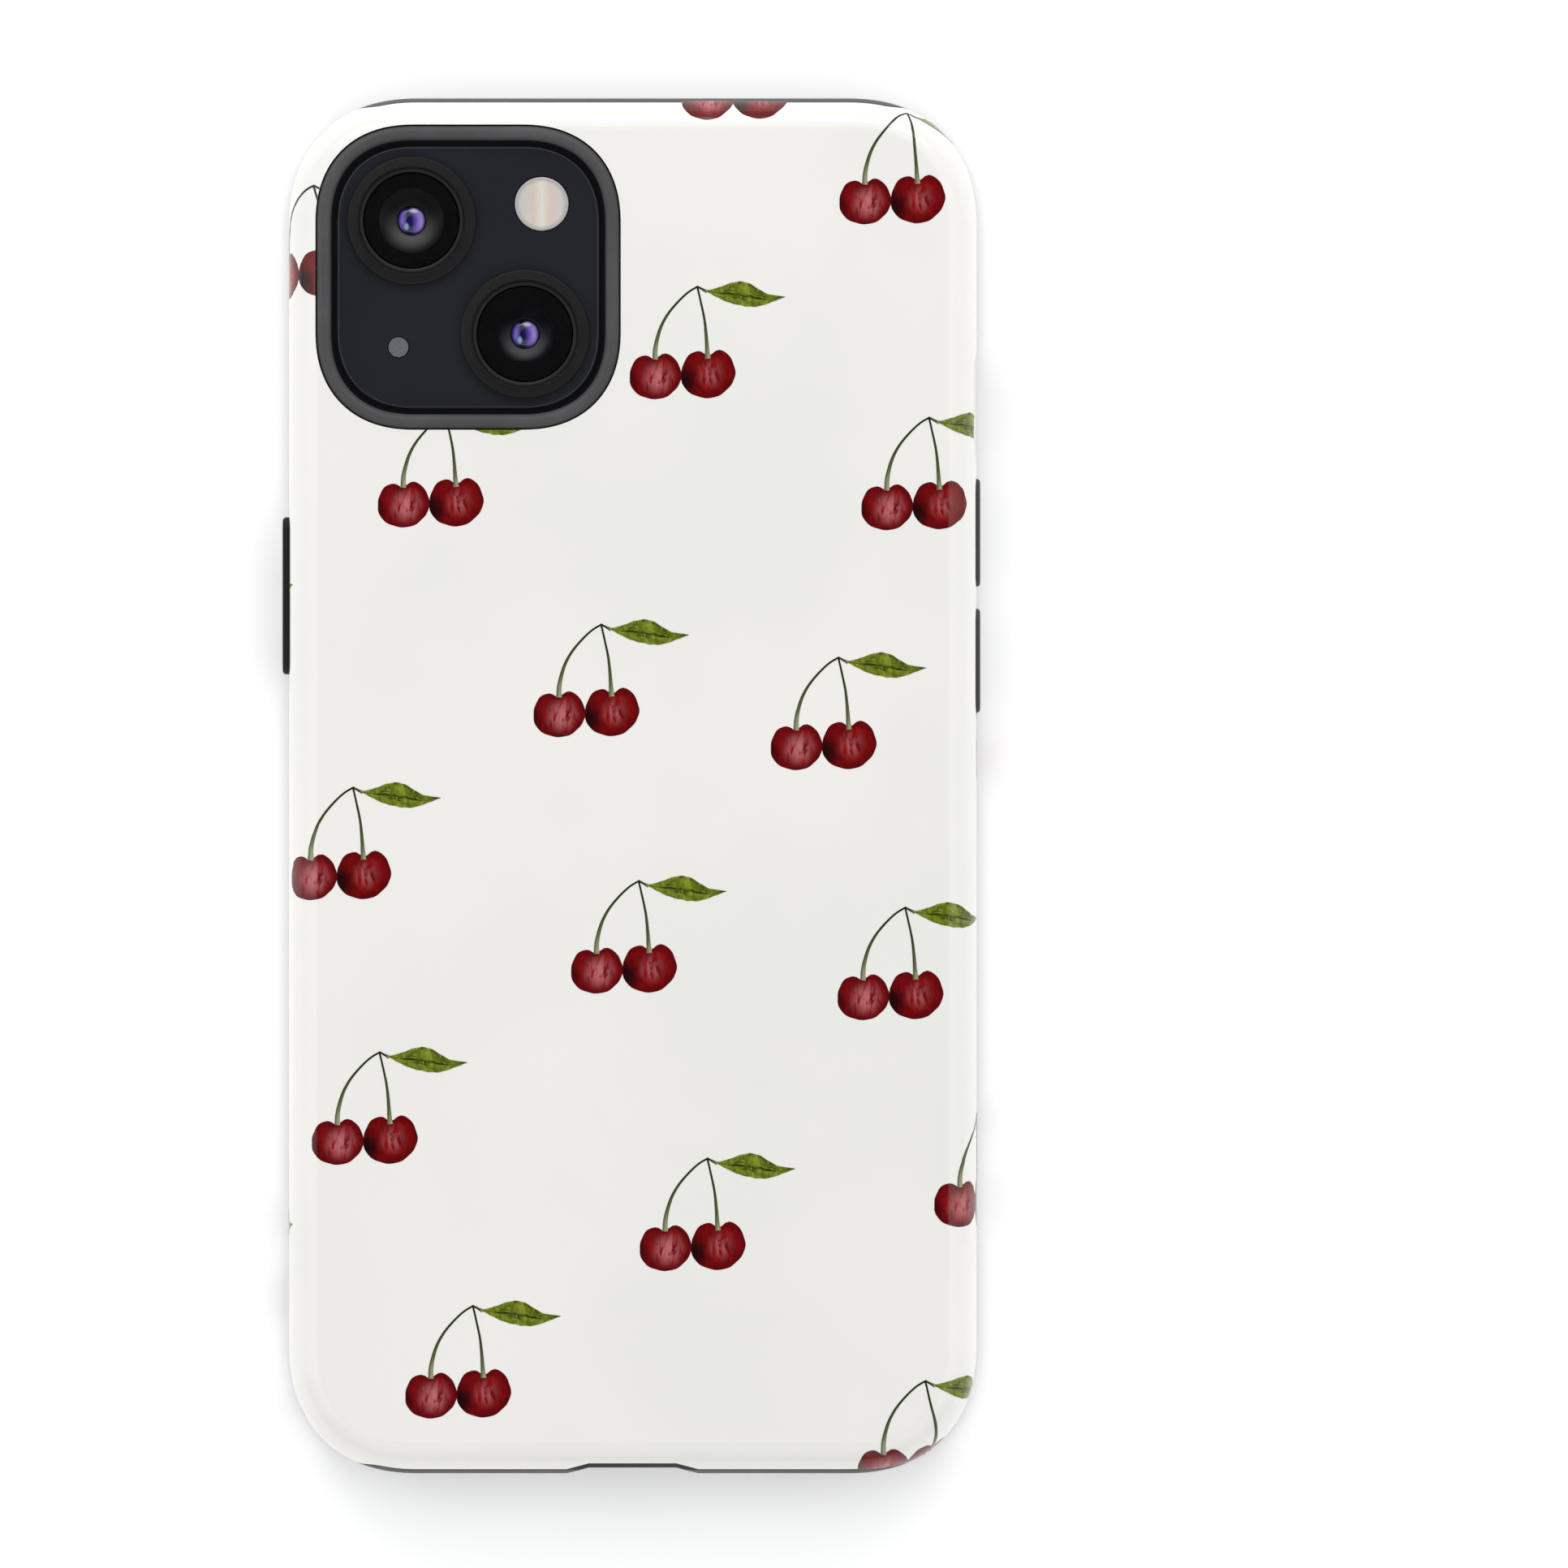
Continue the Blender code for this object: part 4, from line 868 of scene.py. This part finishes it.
skin = caseLayer("skin", 0, shellFront - 8, shellBack, crown=shellMakes["backRound"])
cut(skin, *dishes)
shell = caseLayer("outerShell", 0, shellFront, shellBack, crown=shellMakes["backRound"])
cut(shell, *dishes)
hollow = caseLayer("shellHollow", shellMakes["wall"], -1, shellBack - shellMakes["back"],
                   crown=shellMakes["innerRound"])
cut(shell, hollow, cameraWindow, *shellEnds, shellNotch, *holes)
discard(hollow, shellNotch)
print("shell made", len(shell.data.polygons))


# Printed cherries: each mark is drawn flat, then laid round the shell

printMakes = {
    "leftCherry": {"middle": (-4.6, -9.78), "half": (2.84, 2.5), "dip": 0.62, "dipAt": 92, "tilt": 0.05},
    "rightCherry": {"middle": (1.15, -9.5), "half": (2.96, 2.66), "dip": 0.7, "dipAt": 89, "tilt": 0.06},
    "leftStalk": [(0, 0), (-0.98, -0.58), (-2.08, -1.6), (-3.17, -2.9), (-3.92, -4.23), (-4.37, -5.6), (-4.6, -6.8),
                  (-4.62, -7.95)],
    "rightStalk": [(-0.02, 0), (0.36, -1.64), (0.75, -3.5), (0.95, -5.3), (1.06, -6.9), (1.14, -7.85)],
    "stalkWidths": (0.2, 0.62),
    "twig": [(-0.06, 0.05), (0.4, -0.2), (0.78, -0.4), (1.05, -0.52)],
    "twigWidths": (0.2, 0.42),
    "leafBase": (0.88, -0.46),
    "leafTip": (9.55, -1.12),
    "leafUpper": (0.05, 0.3, 0.62, 1.02, 1.28, 1.3, 1.0, 0.5, 0.16, 0.1, 0.03),
    "leafLower": (0.05, 0.42, 0.8, 1.08, 1.24, 1.34, 1.34, 1.16, 0.8, 0.42, 0.03),
    "filmTop": 0.022,  # how far the ink stands on the shell
    "filmDepth": 0.05,
    "apexes": [  # the top of each pair's stalks, across and up the unrolled shell
        (7.1, 54.5), (32.4, 40.2), (-20.4, 40.5), (-3.4, 17.6), (22.5, 14.0), (-30.5, -0.2), (0.7, -10.4),
        (29.8, -13.3), (-27.6, -29.1), (8.2, -40.7), (-17.4, -56.8), (40.35, -35.9), (32.0, -65.0), (30.0, 73.6),
        (-34.7, 65.5), (12.8, 85.0), (47.6, 12.7), (-47.3, 23.1), (-47.3, -46.8), (-47.3, -68.8),
    ],
}


def along(points, share):  # a smooth path through the points
    reached = share * (len(points) - 1)
    index = min(int(reached), len(points) - 2)
    t = reached - index
    p = [points[max(0, min(len(points) - 1, index + step))] for step in (-1, 0, 1, 2)]
    if not isinstance(p[0], tuple):
        p = [(value,) for value in p]
    made = [0.5 * (2 * b + (c - a) * t + (2 * a - 5 * b + 4 * c - d) * t * t + (3 * b - a - 3 * c + d) * t ** 3)
            for a, b, c, d in zip(*p)]
    return made if len(made) > 1 else made[0]


def printMap(obj, coordinates):  # each point's place within its own mark
    layer = obj.data.uv_layers.active or obj.data.uv_layers.new(name="print")
    layer.name = "print"
    for loop in obj.data.loops:
        layer.data[loop.index].uv = coordinates[loop.vertex_index]


def drawCherry(name, makes, steps=48, rings=11):
    selectOnly()
    bpy.ops.mesh.primitive_circle_add(vertices=steps, radius=1, calc_uvs=True)
    obj = named(name)
    pick(obj, "EDGE", lambda edge: True)
    radius = 1
    for ring in range(1, rings):
        factor = (1 - ring / rings) / radius
        bpy.ops.mesh.extrude_region_move()
        bpy.ops.transform.resize(value=(factor, factor, 1), center_override=(0, 0, 0))
        radius *= factor
    bpy.ops.mesh.extrude_region_move()
    bpy.ops.mesh.merge(type="COLLAPSE")
    done()
    printMap(obj, [(0.5 + vert.co.x / 2, 0.5 + vert.co.y / 2) for vert in obj.data.vertices])
    for vert in obj.data.vertices:
        angle = math.atan2(vert.co.y, vert.co.x)
        reach = vert.co.xy.length
        away = (math.degrees(angle) - makes["dipAt"] + 180) % 360 - 180
        wobble = 0.012 * math.sin(5 * angle + makes["tilt"] * 30) + 0.008 * math.sin(11 * angle + 1)
        shoulder = 0.07 * math.exp(-((abs(away) - 36) / 22) ** 2)  # beside the dip, angles in degrees
        full = 1 + wobble + shoulder + makes["tilt"] * math.sin(angle) * math.cos(angle)
        dip = makes["dip"] / makes["half"][1] * math.exp(-(away / 13) ** 2) * reach ** 3
        x, y = [vert.co[axis] * full * makes["half"][axis] for axis in (0, 1)]
        vert.co = (makes["middle"][0] + x, makes["middle"][1] + y - dip * makes["half"][1], 0)
    return obj


def drawStrip(name, steps, across, shape):  # a grid pulled to shape(share along, share across)
    selectOnly()
    bpy.ops.mesh.primitive_grid_add(x_subdivisions=steps, y_subdivisions=across, size=1, calc_uvs=True)
    obj = named(name)
    shares = [(vert.co.x + 0.5, vert.co.y + 0.5) for vert in obj.data.vertices]
    printMap(obj, shares)
    for vert, (share, side) in zip(obj.data.vertices, shares):
        vert.co = (*shape(share, side), 0)
    return obj


def stalkShape(points, widths):
    def shape(share, side):
        here, ahead, behind = [Vector(along(points, min(1, max(0, share + step)))) for step in (0, 0.02, -0.02)]
        way = (ahead - behind).normalized()
        width = widths[0] + (widths[1] - widths[0]) * share ** 2.2
        return here + Vector((-way.y, way.x)) * width * (side - 0.5)
    return shape


def leafShape(share, side):
    base, tip = Vector(printMakes["leafBase"]), Vector(printMakes["leafTip"])
    spine = base.lerp(tip, share)
    upper, lower = along(printMakes["leafUpper"], share), along(printMakes["leafLower"], share)
    ruffle = 0.035 * math.sin(share * 47) * math.sin(share * math.pi)
    return spine + Vector((0, (upper + ruffle) * side - (lower - ruffle) * (1 - side)))


def arcLengths(turns=90):  # along the round of the shell's back edge
    across, down = shellMakes["backRound"]
    lengths = [0]
    for turn in range(turns):
        a, b = [math.pi / 2 * value / turns for value in (turn, turn + 1)]
        step = across * (math.sin(b) - math.sin(a)), down * (math.cos(a) - math.cos(b))
        lengths.append(lengths[-1] + math.hypot(*step))
    return lengths


def roundTheShell(obj):  # bends the flat drawing down over the shell's edge
    across, down = shellMakes["backRound"]
    inner = (halfWidth - across, halfLength - across)
    radius = shellMakes["corner"] - across
    lengths = arcLengths()
    turns = len(lengths) - 1
    for vert in obj.data.vertices:
        u, v = vert.co.xy
        over = Vector((abs(u) - inner[0] + radius, abs(v) - inner[1] + radius))
        if over.x > 0 and over.y > 0:
            beyond, way = over.length - radius, over.normalized()
        elif over.x > over.y:
            beyond, way = over.x - radius, Vector((1, 0))
        else:
            beyond, way = over.y - radius, Vector((0, 1))
        if beyond <= 0:
            vert.co.z = shellBack
            continue
        if beyond < lengths[-1]:
            step = next(index for index, length in enumerate(lengths) if length >= beyond)
            turn = (step - (lengths[step] - beyond) / (lengths[step] - lengths[step - 1])) / turns * math.pi / 2
            out, fall = across * math.sin(turn), down * (1 - math.cos(turn))
        else:
            out, fall = across, down + beyond - lengths[-1]
        shift = way * (out - beyond)
        vert.co = (u + math.copysign(shift.x, u), v + math.copysign(shift.y, v), shellBack - fall)


def layMarks(name, drawing, lift):  # copies a drawing to every place, and lays the copies on the skin
    copies = [copyOf(drawing, name, (u, v, 0)) for u, v in printMakes["apexes"]]
    selectOnly(*copies)
    bpy.ops.object.join()
    obj = bpy.context.object
    obj.name = name
    pick(obj, "FACE", lambda face: face.normal.z < 0)
    bpy.ops.mesh.flip_normals()
    done()
    modify(obj, "SOLIDIFY", thickness=1, offset=-1)  # a slab for the cut, of which the top is kept
    modify(obj, "BOOLEAN", operation="INTERSECT", solver="EXACT", object=printArea)
    pick(obj, "FACE", lambda face: face.normal.z < 0.5)
    bpy.ops.mesh.delete(type="FACE")
    done()
    roundTheShell(obj)
    modify(obj, "SHRINKWRAP", target=skin, wrap_method="NEAREST_SURFACEPOINT", wrap_mode="ABOVE_SURFACE",
           offset=printMakes["filmTop"] + lift)
    modify(obj, "SOLIDIFY", thickness=printMakes["filmDepth"] + lift, offset=-1)
    return obj


leftCherry = drawCherry("leftCherry", printMakes["leftCherry"])
rightCherry = drawCherry("rightCherry", printMakes["rightCherry"])
leftStalk = drawStrip("leftStalk", 22, 2, stalkShape(printMakes["leftStalk"], printMakes["stalkWidths"]))
rightStalk = drawStrip("rightStalk", 22, 2, stalkShape(printMakes["rightStalk"], printMakes["stalkWidths"]))
twig = drawStrip("twig", 6, 2, stalkShape(printMakes["twig"], printMakes["twigWidths"]))
leaf = drawStrip("leaf", 30, 6, leafShape)

for drawing, ink in ((leftCherry, "leftCherry"), (rightCherry, "rightCherry"), (leaf, "leaf"),
                     (leftStalk, "stalk"), (rightStalk, "stalk"), (twig, "stalk")):
    drawing.data.materials.append(inks[ink])


def unrolled(height):  # how far out a height on the wall lies on the flat drawing, and in plan
    across, down = shellMakes["backRound"]
    lengths = arcLengths()
    fall = shellBack - height
    if fall >= down:
        return lengths[-1] + fall - down, across
    turn = math.acos(1 - fall / down)
    return lengths[round(turn / math.pi * 2 * (len(lengths) - 1))], across * math.sin(turn)


def flatEnd():  # the bare end's outline on the flat drawing
    top, foot = shellMakes["endTop"], shellMakes["endFoot"]
    back, front = shellBack - shellMakes["endEdge"], shellFront - flush
    slope, size = Vector((foot - top, front - back)).normalized(), shellMakes["endRound"]
    path = [(0, back)]
    for corner, before, after in ((Vector((top, back)), Vector((-1, 0)), slope),
                                  (Vector((foot, front)), -slope, Vector((1, 0)))):
        for step in range(9):
            share = step / 8
            path.append(corner + before * size * (1 - share) ** 2 + after * size * share ** 2)
    path.append((foot + 3, front))
    inner = (halfWidth - shellMakes["corner"], halfLength - shellMakes["corner"])
    radius = shellMakes["corner"] - shellMakes["backRound"][0]
    outline = []
    for x, z in path:
        length, out = unrolled(z)
        over = max(0, x - inner[0])
        angle = math.asin(over / (radius + out))
        outline.append((min(x, inner[0]) + (radius + length) * math.sin(angle),
                        inner[1] + (radius + length) * math.cos(angle)))
    outline.append((outline[-1][0], halfLength + 30))
    return outline + [(-x, y) for x, y in reversed(outline) if x > 0]


flatEdge = halfWidth - shellMakes["backRound"][0]
reach = unrolled(shellFront)[0] - shellMakes["backRound"][0]
printArea = flatBlock("printArea", (2 * (halfWidth + reach), 2 * (halfLength + reach)),
                      shellMakes["corner"] + reach, -3, 3, cornerSteps=40, profile=plainRound)
cameraCut = flatBlock("flatCamera", [shellMakes["rimSide"] + 2 * shellMakes["gap"]] * 2,
                      shellMakes["rimCorner"] + shellMakes["gap"], -4, 4)
flatCuts = [place(cameraCut, (cameraMiddle[0], cameraMiddle[1], 0))]
for node in ("volume_up_pad", "volume_down_pad", "power_pad"):
    (x, low, front), (_, high, back) = boxOf(node)
    gap = shellMakes["padGap"]
    middle = flatEdge + unrolled((front + back) / 2)[0]
    flatCuts.append(place(oblong("flatPad", (back - front + 2 * gap, high - low + 2 * gap), -4, 4),
                          (math.copysign(middle, x), (low + high) / 2, 0)))
ringSize = shellMakes["ringWindow"]
start, end = [flatEdge + unrolled(ringHeight + step * ringSize[0] / 2)[0] for step in (1, -1)]
flatCuts.append(place(flatBlock("flatRing", (end - start, ringSize[1]), shellMakes["ringCorner"], -4, 4),
                      ((start + end) / 2, middleOf("ring_slider")[1], 0)))
topEnd = drawnBlock("flatEnd", flatEnd(), -4, 4)
footEnd = place(copyOf(topEnd, "flatEndFoot"), turn=(0, 0, 180))
cut(printArea, *flatCuts, topEnd, footEnd)
discard(*flatCuts, topEnd, footEnd)
layers = [layMarks("leftCherryLayer", leftCherry, 0), layMarks("rightCherryLayer", rightCherry, 0.002),
          layMarks("leafLayer", leaf, 0.004), layMarks("leftStalkLayer", leftStalk, 0.008),
          layMarks("rightStalkLayer", rightStalk, 0.011), layMarks("twigLayer", twig, 0.014)]
discard(leftCherry, rightCherry, leftStalk, rightStalk, twig, leaf, printArea)
selectOnly(*layers)
bpy.ops.object.join()
cherryPrint = bpy.context.object
cherryPrint.name = cherryPrint.data.name = "cherryPrint"
print("print laid", len(cherryPrint.data.polygons))


# Soft liner and camera rim

linerMakes = {
    "lipRound": 0.7,
    "wallInset": 0.92,  # shell's wall and the gap
    "round": (2.6, 3.6),
    "lipCover": 1.3,
    "phoneCorner": 12.4,
    "fit": 0.15,  # room round the phone
    "backWall": 0.75,
    "pocketRound": (1.0, 1.0),
    "rimWall": 1.55,
    "rimRound": 0.74,
    "portWindow": (12.6, 5.4),
    "soundWindow": (12.85, 2.4),
}


def phoneLayer(name, grow, low, high, **rounds):
    corner = linerMakes["phoneCorner"] + grow
    side, end = phoneSide + grow, phoneEnd + grow
    return roundedBlock(name, (-side, -end, low), (side, end, high), corner, cornerSteps=28, edgeSteps=6, **rounds)


phoneFront, phoneBack = boxOf("display_glass")[0][2], boxOf("back_glass")[1][2]
linerTop = phoneBack + linerMakes["fit"] + linerMakes["backWall"]
liner = caseLayer("innerLiner", 0, 0, shellBack, crown=shellMakes["backRound"],
                  foot=[linerMakes["lipRound"]] * 2)
underShell = caseLayer("underShell", linerMakes["wallInset"], -1, linerTop, crown=linerMakes["round"])
shellSpace = caseLayer("shellSpace", -2, shellFront - shellMakes["gap"], shellBack + 2)
linerEnds = endCutters("linerEnd", shellMakes["gap"])
cut(shellSpace, underShell, *linerEnds)
fit = linerMakes["fit"]
pocket = phoneLayer("phonePocket", fit, phoneFront - fit, phoneBack + fit, crown=linerMakes["pocketRound"])
lipWindow = phoneLayer("lipWindow", -linerMakes["lipCover"], -1, 2)
rimHole = place(flatBlock("rimHole", [shellMakes["rimSide"] - linerMakes["rimWall"]] * 2,
                          shellMakes["rimCorner"] - linerMakes["rimWall"] / 2, 4, 12, cornerSteps=28),
                (cameraMiddle[0], cameraMiddle[1], 0))
cut(liner, shellSpace, pocket, lipWindow, rimHole, portNotch)
cut(liner, *holes)
portMiddle = middleOf("charging_port")
windowAt = (portMiddle[0], -halfLength, portMiddle[2])
portWindow = place(oblong("portWindow", linerMakes["portWindow"], -2.5, 2), windowAt, bottomEnd)
cut(liner, portWindow)
for side in ("left", "right"):
    at = middleOf("sound_mesh_" + side)
    soundWindow = oblong("soundWindow", linerMakes["soundWindow"], -2.5, 2)
    cut(liner, place(soundWindow, (at[0], -halfLength, at[2]), bottomEnd))
    discard(soundWindow)
discard(underShell, shellSpace, pocket, lipWindow, rimHole, portWindow, *linerEnds)

rimTop = linerHigh[2]
rim = flatBlock("cameraRim", [shellMakes["rimSide"]] * 2, shellMakes["rimCorner"],
                linerTop - linerMakes["backWall"] / 2, rimTop, cornerSteps=28)
pick(rim, "FACE", lambda face: abs(face.normal.z) > 0.9)
bpy.ops.mesh.inset(thickness=linerMakes["rimWall"], depth=0)
bpy.ops.mesh.bridge_edge_loops()
done()
roundEdge(rim, rimTop, linerMakes["rimRound"], steps=7)
place(rim, (cameraMiddle[0], cameraMiddle[1], 0))
fuse(liner, rim)
print("liner made", len(liner.data.polygons))


# Pads over the keys

padMakes = {"round": (0.38, 0.38)}


def makePad(node, name, body, turn, finish):
    low, high = boxOf(node)
    inner, outer = sorted((abs(low[0]), abs(high[0])))
    size = (high[2] - low[2], high[1] - low[1])
    pad = oblong(name, size, inner, outer, crown=padMakes["round"], edgeSteps=6)
    place(pad, (0, (low[1] + high[1]) / 2, (low[2] + high[2]) / 2), turn)
    finishPiece(pad, body, finish, [node])


# Camera corner

plateauMakes = {
    "corner": 8.6,
    "round": (0.3, 0.3),
    "bores": {"wide_lens_ring": 5.3, "ultrawide_lens_ring": 5.3, "flash_lens": 3.05, "rear_microphone": 1.2},
}
lensMakes = {
    "bore": 5.3,
    "cones": {"wide": 3.55, "ultrawide": 3.15},
    "ridges": 7,  # fine steps down the cone, which stop stray light
    "pupil": 1.6,
    "throat": 1.3,  # height of the pupil's tube
    "dome": 0.6,
    "coverEdge": 0.06,
}
flashMakes = {"edge": 0.2, "lip": 0.45, "dip": 0.06}

plateauLow, plateauHigh = boxOf("camera_plateau")
plateau = roundedBlock("cameraPlateau", plateauLow, plateauHigh, plateauMakes["corner"],
                       crown=plateauMakes["round"], cornerSteps=28, edgeSteps=5)
for node, radius in plateauMakes["bores"].items():
    spot = middleOf(node)
    bore = place(turned("bore", [(0, 4), (radius, 4), (radius, 12), (0, 12)], steps=96), (spot[0], spot[1], 0))
    cut(plateau, bore)
    discard(bore)


def makeLens(kind):
    middle, bore = middleOf(kind + "_lens_ring"), lensMakes["bore"]

    def stand(node, name, profile, finish, ring=False, smooth=32, steps=96):
        piece = place(turned(kind + name, profile, steps=steps, ring=ring), (middle[0], middle[1], 0))
        finishPiece(piece, phone, finish, [kind + node], smooth=smooth)

    low, high = boxOf(kind + "_lens_ring")
    outer, foot, top = (high[0] - low[0]) / 2, low[2], high[2]
    stand("_lens_ring", "LensRing", [
        (bore, foot), (outer, foot), (outer, top - 0.42), *arc((outer - 0.16, top - 0.42), 0.16, 20, 80, 3),
        (outer - 0.95, top - 0.12), *arc((outer - 1.02, top - 0.14), 0.14, 60, 100, 3), (bore + 0.42, top - 0.2),
        (bore + 0.36, top - 0.38), (bore + 0.14, top - 0.42), (bore, top - 0.5),
    ], turnedMetal(kind + "Ring", paint(28, 28, 29), paint(40, 40, 41), middle), ring=True)

    low, high = boxOf(kind + "_lens_barrel")
    cone, pupil, face, ridges = lensMakes["cones"][kind], lensMakes["pupil"], high[2], lensMakes["ridges"]
    mouth, throat = face - 0.12, low[2] + lensMakes["throat"]
    wall = [(cone, mouth)]
    for ridge in range(1, ridges + 1):
        share = ridge / (ridges + 1)
        radius = cone + (pupil + 0.35 - cone) * share
        height = mouth + (throat + 0.1 - mouth) * share
        wall += [(radius + 0.03, height + 0.02), (radius, height)]
    wall += [(pupil + 0.3, throat + 0.08), (pupil, throat)]
    stand("_lens_barrel", "LensBarrel", [
        (pupil, low[2]), (bore - 0.15, low[2]), (bore - 0.15, face), (cone + 0.06, face), *wall,
    ], barrelFinish(kind + "Barrel", middle, low[2], high[2]), ring=True, smooth=22)

    low, high = boxOf(kind + "_front_element")
    radius, dome = (high[0] - low[0]) / 2, lensMakes["dome"]
    profile = [(0, low[2]), (radius, low[2]), (radius, high[2] - dome)]
    for step in range(1, 12):
        angle = math.pi / 2 * step / 12
        profile.append((radius * math.cos(angle), high[2] - dome + dome * math.sin(angle)))
    profile.append((0, high[2]))
    stand("_front_element", "FrontElement", profile, coatingWithPaintedReflections(kind + "Coating", middle),
          smooth=40, steps=64)

    low, high = boxOf(kind + "_cover_glass")
    radius, edge = (high[0] - low[0]) / 2, lensMakes["coverEdge"]
    stand("_cover_glass", "CoverGlass", [
        (0, low[2]), (radius, low[2]), (radius, high[2] - edge), (radius - edge, high[2]), (0, high[2]),
    ], finishes["cover"])


# Pieces brought together

finishPiece(shell, phone, finishes["shell"], ["outer_shell"])
finishPiece(cherryPrint, phone, None)
finishPiece(liner, phone, finishes["liner"], ["inner_liner"])
finishPiece(plateau, phone, finishes["backGlass"], ["camera_plateau"])
makePad("volume_up_pad", "volumeUpPad", "volume_up_button", rightSide, finishes["greyPad"])
makePad("volume_down_pad", "volumeDownPad", "volume_down_button", rightSide, finishes["greyPad"])
makePad("power_pad", "powerPad", "power_button", leftSide, finishes["darkPad"])
makeLens("wide")
makeLens("ultrawide")

low, high = boxOf("flash_lens")
flashRadius, flashMiddle, edge = (high[0] - low[0]) / 2, middleOf("flash_lens"), flashMakes["edge"]
flash = turned("flashLens", [
    (0, low[2]), (flashRadius, low[2]), (flashRadius, high[2] - edge),
    *arc((flashRadius - edge, high[2] - edge), edge, 20, 90, 4),
    (flashRadius - flashMakes["lip"], high[2] - flashMakes["dip"]), (0, high[2] - flashMakes["dip"])])
place(flash, (flashMiddle[0], flashMiddle[1], 0))
finishPiece(flash, phone, flashFinish(flashMiddle), ["flash_lens"])

discard(skin, cameraWindow, portNotch, *holes, *dishes, *shellEnds)

carried = {
    "band": "band", "back_glass": "backGlass", "display_glass": "screen", "display_panel": "plastic",
    "power_key": "band", "volume_up_key": "band", "volume_down_key": "band",
    "ring_slider": "band", "card_tray": "band",
    "charging_port": "steel", "sim_card": "card", "flash_lamp": "card", "rear_microphone": "microphone",
    "sound_mesh_left": "mesh", "sound_mesh_right": "mesh", "logic_board": "board", "dock_board": "board",
    "charging_coil": "copper", "magnet_ring": "magnet", "battery": "wrap",
}
for name, node in nodes.items():
    if node.hide_render:
        continue
    slots = [slot.material.name for slot in node.material_slots if slot.material]
    finish = carried.get(name) or ("steel" if "steel" in slots else "plastic")
    for slot in node.material_slots:
        slot.material = finishes[finish]
print("carried nodes finished")

selectOnly()
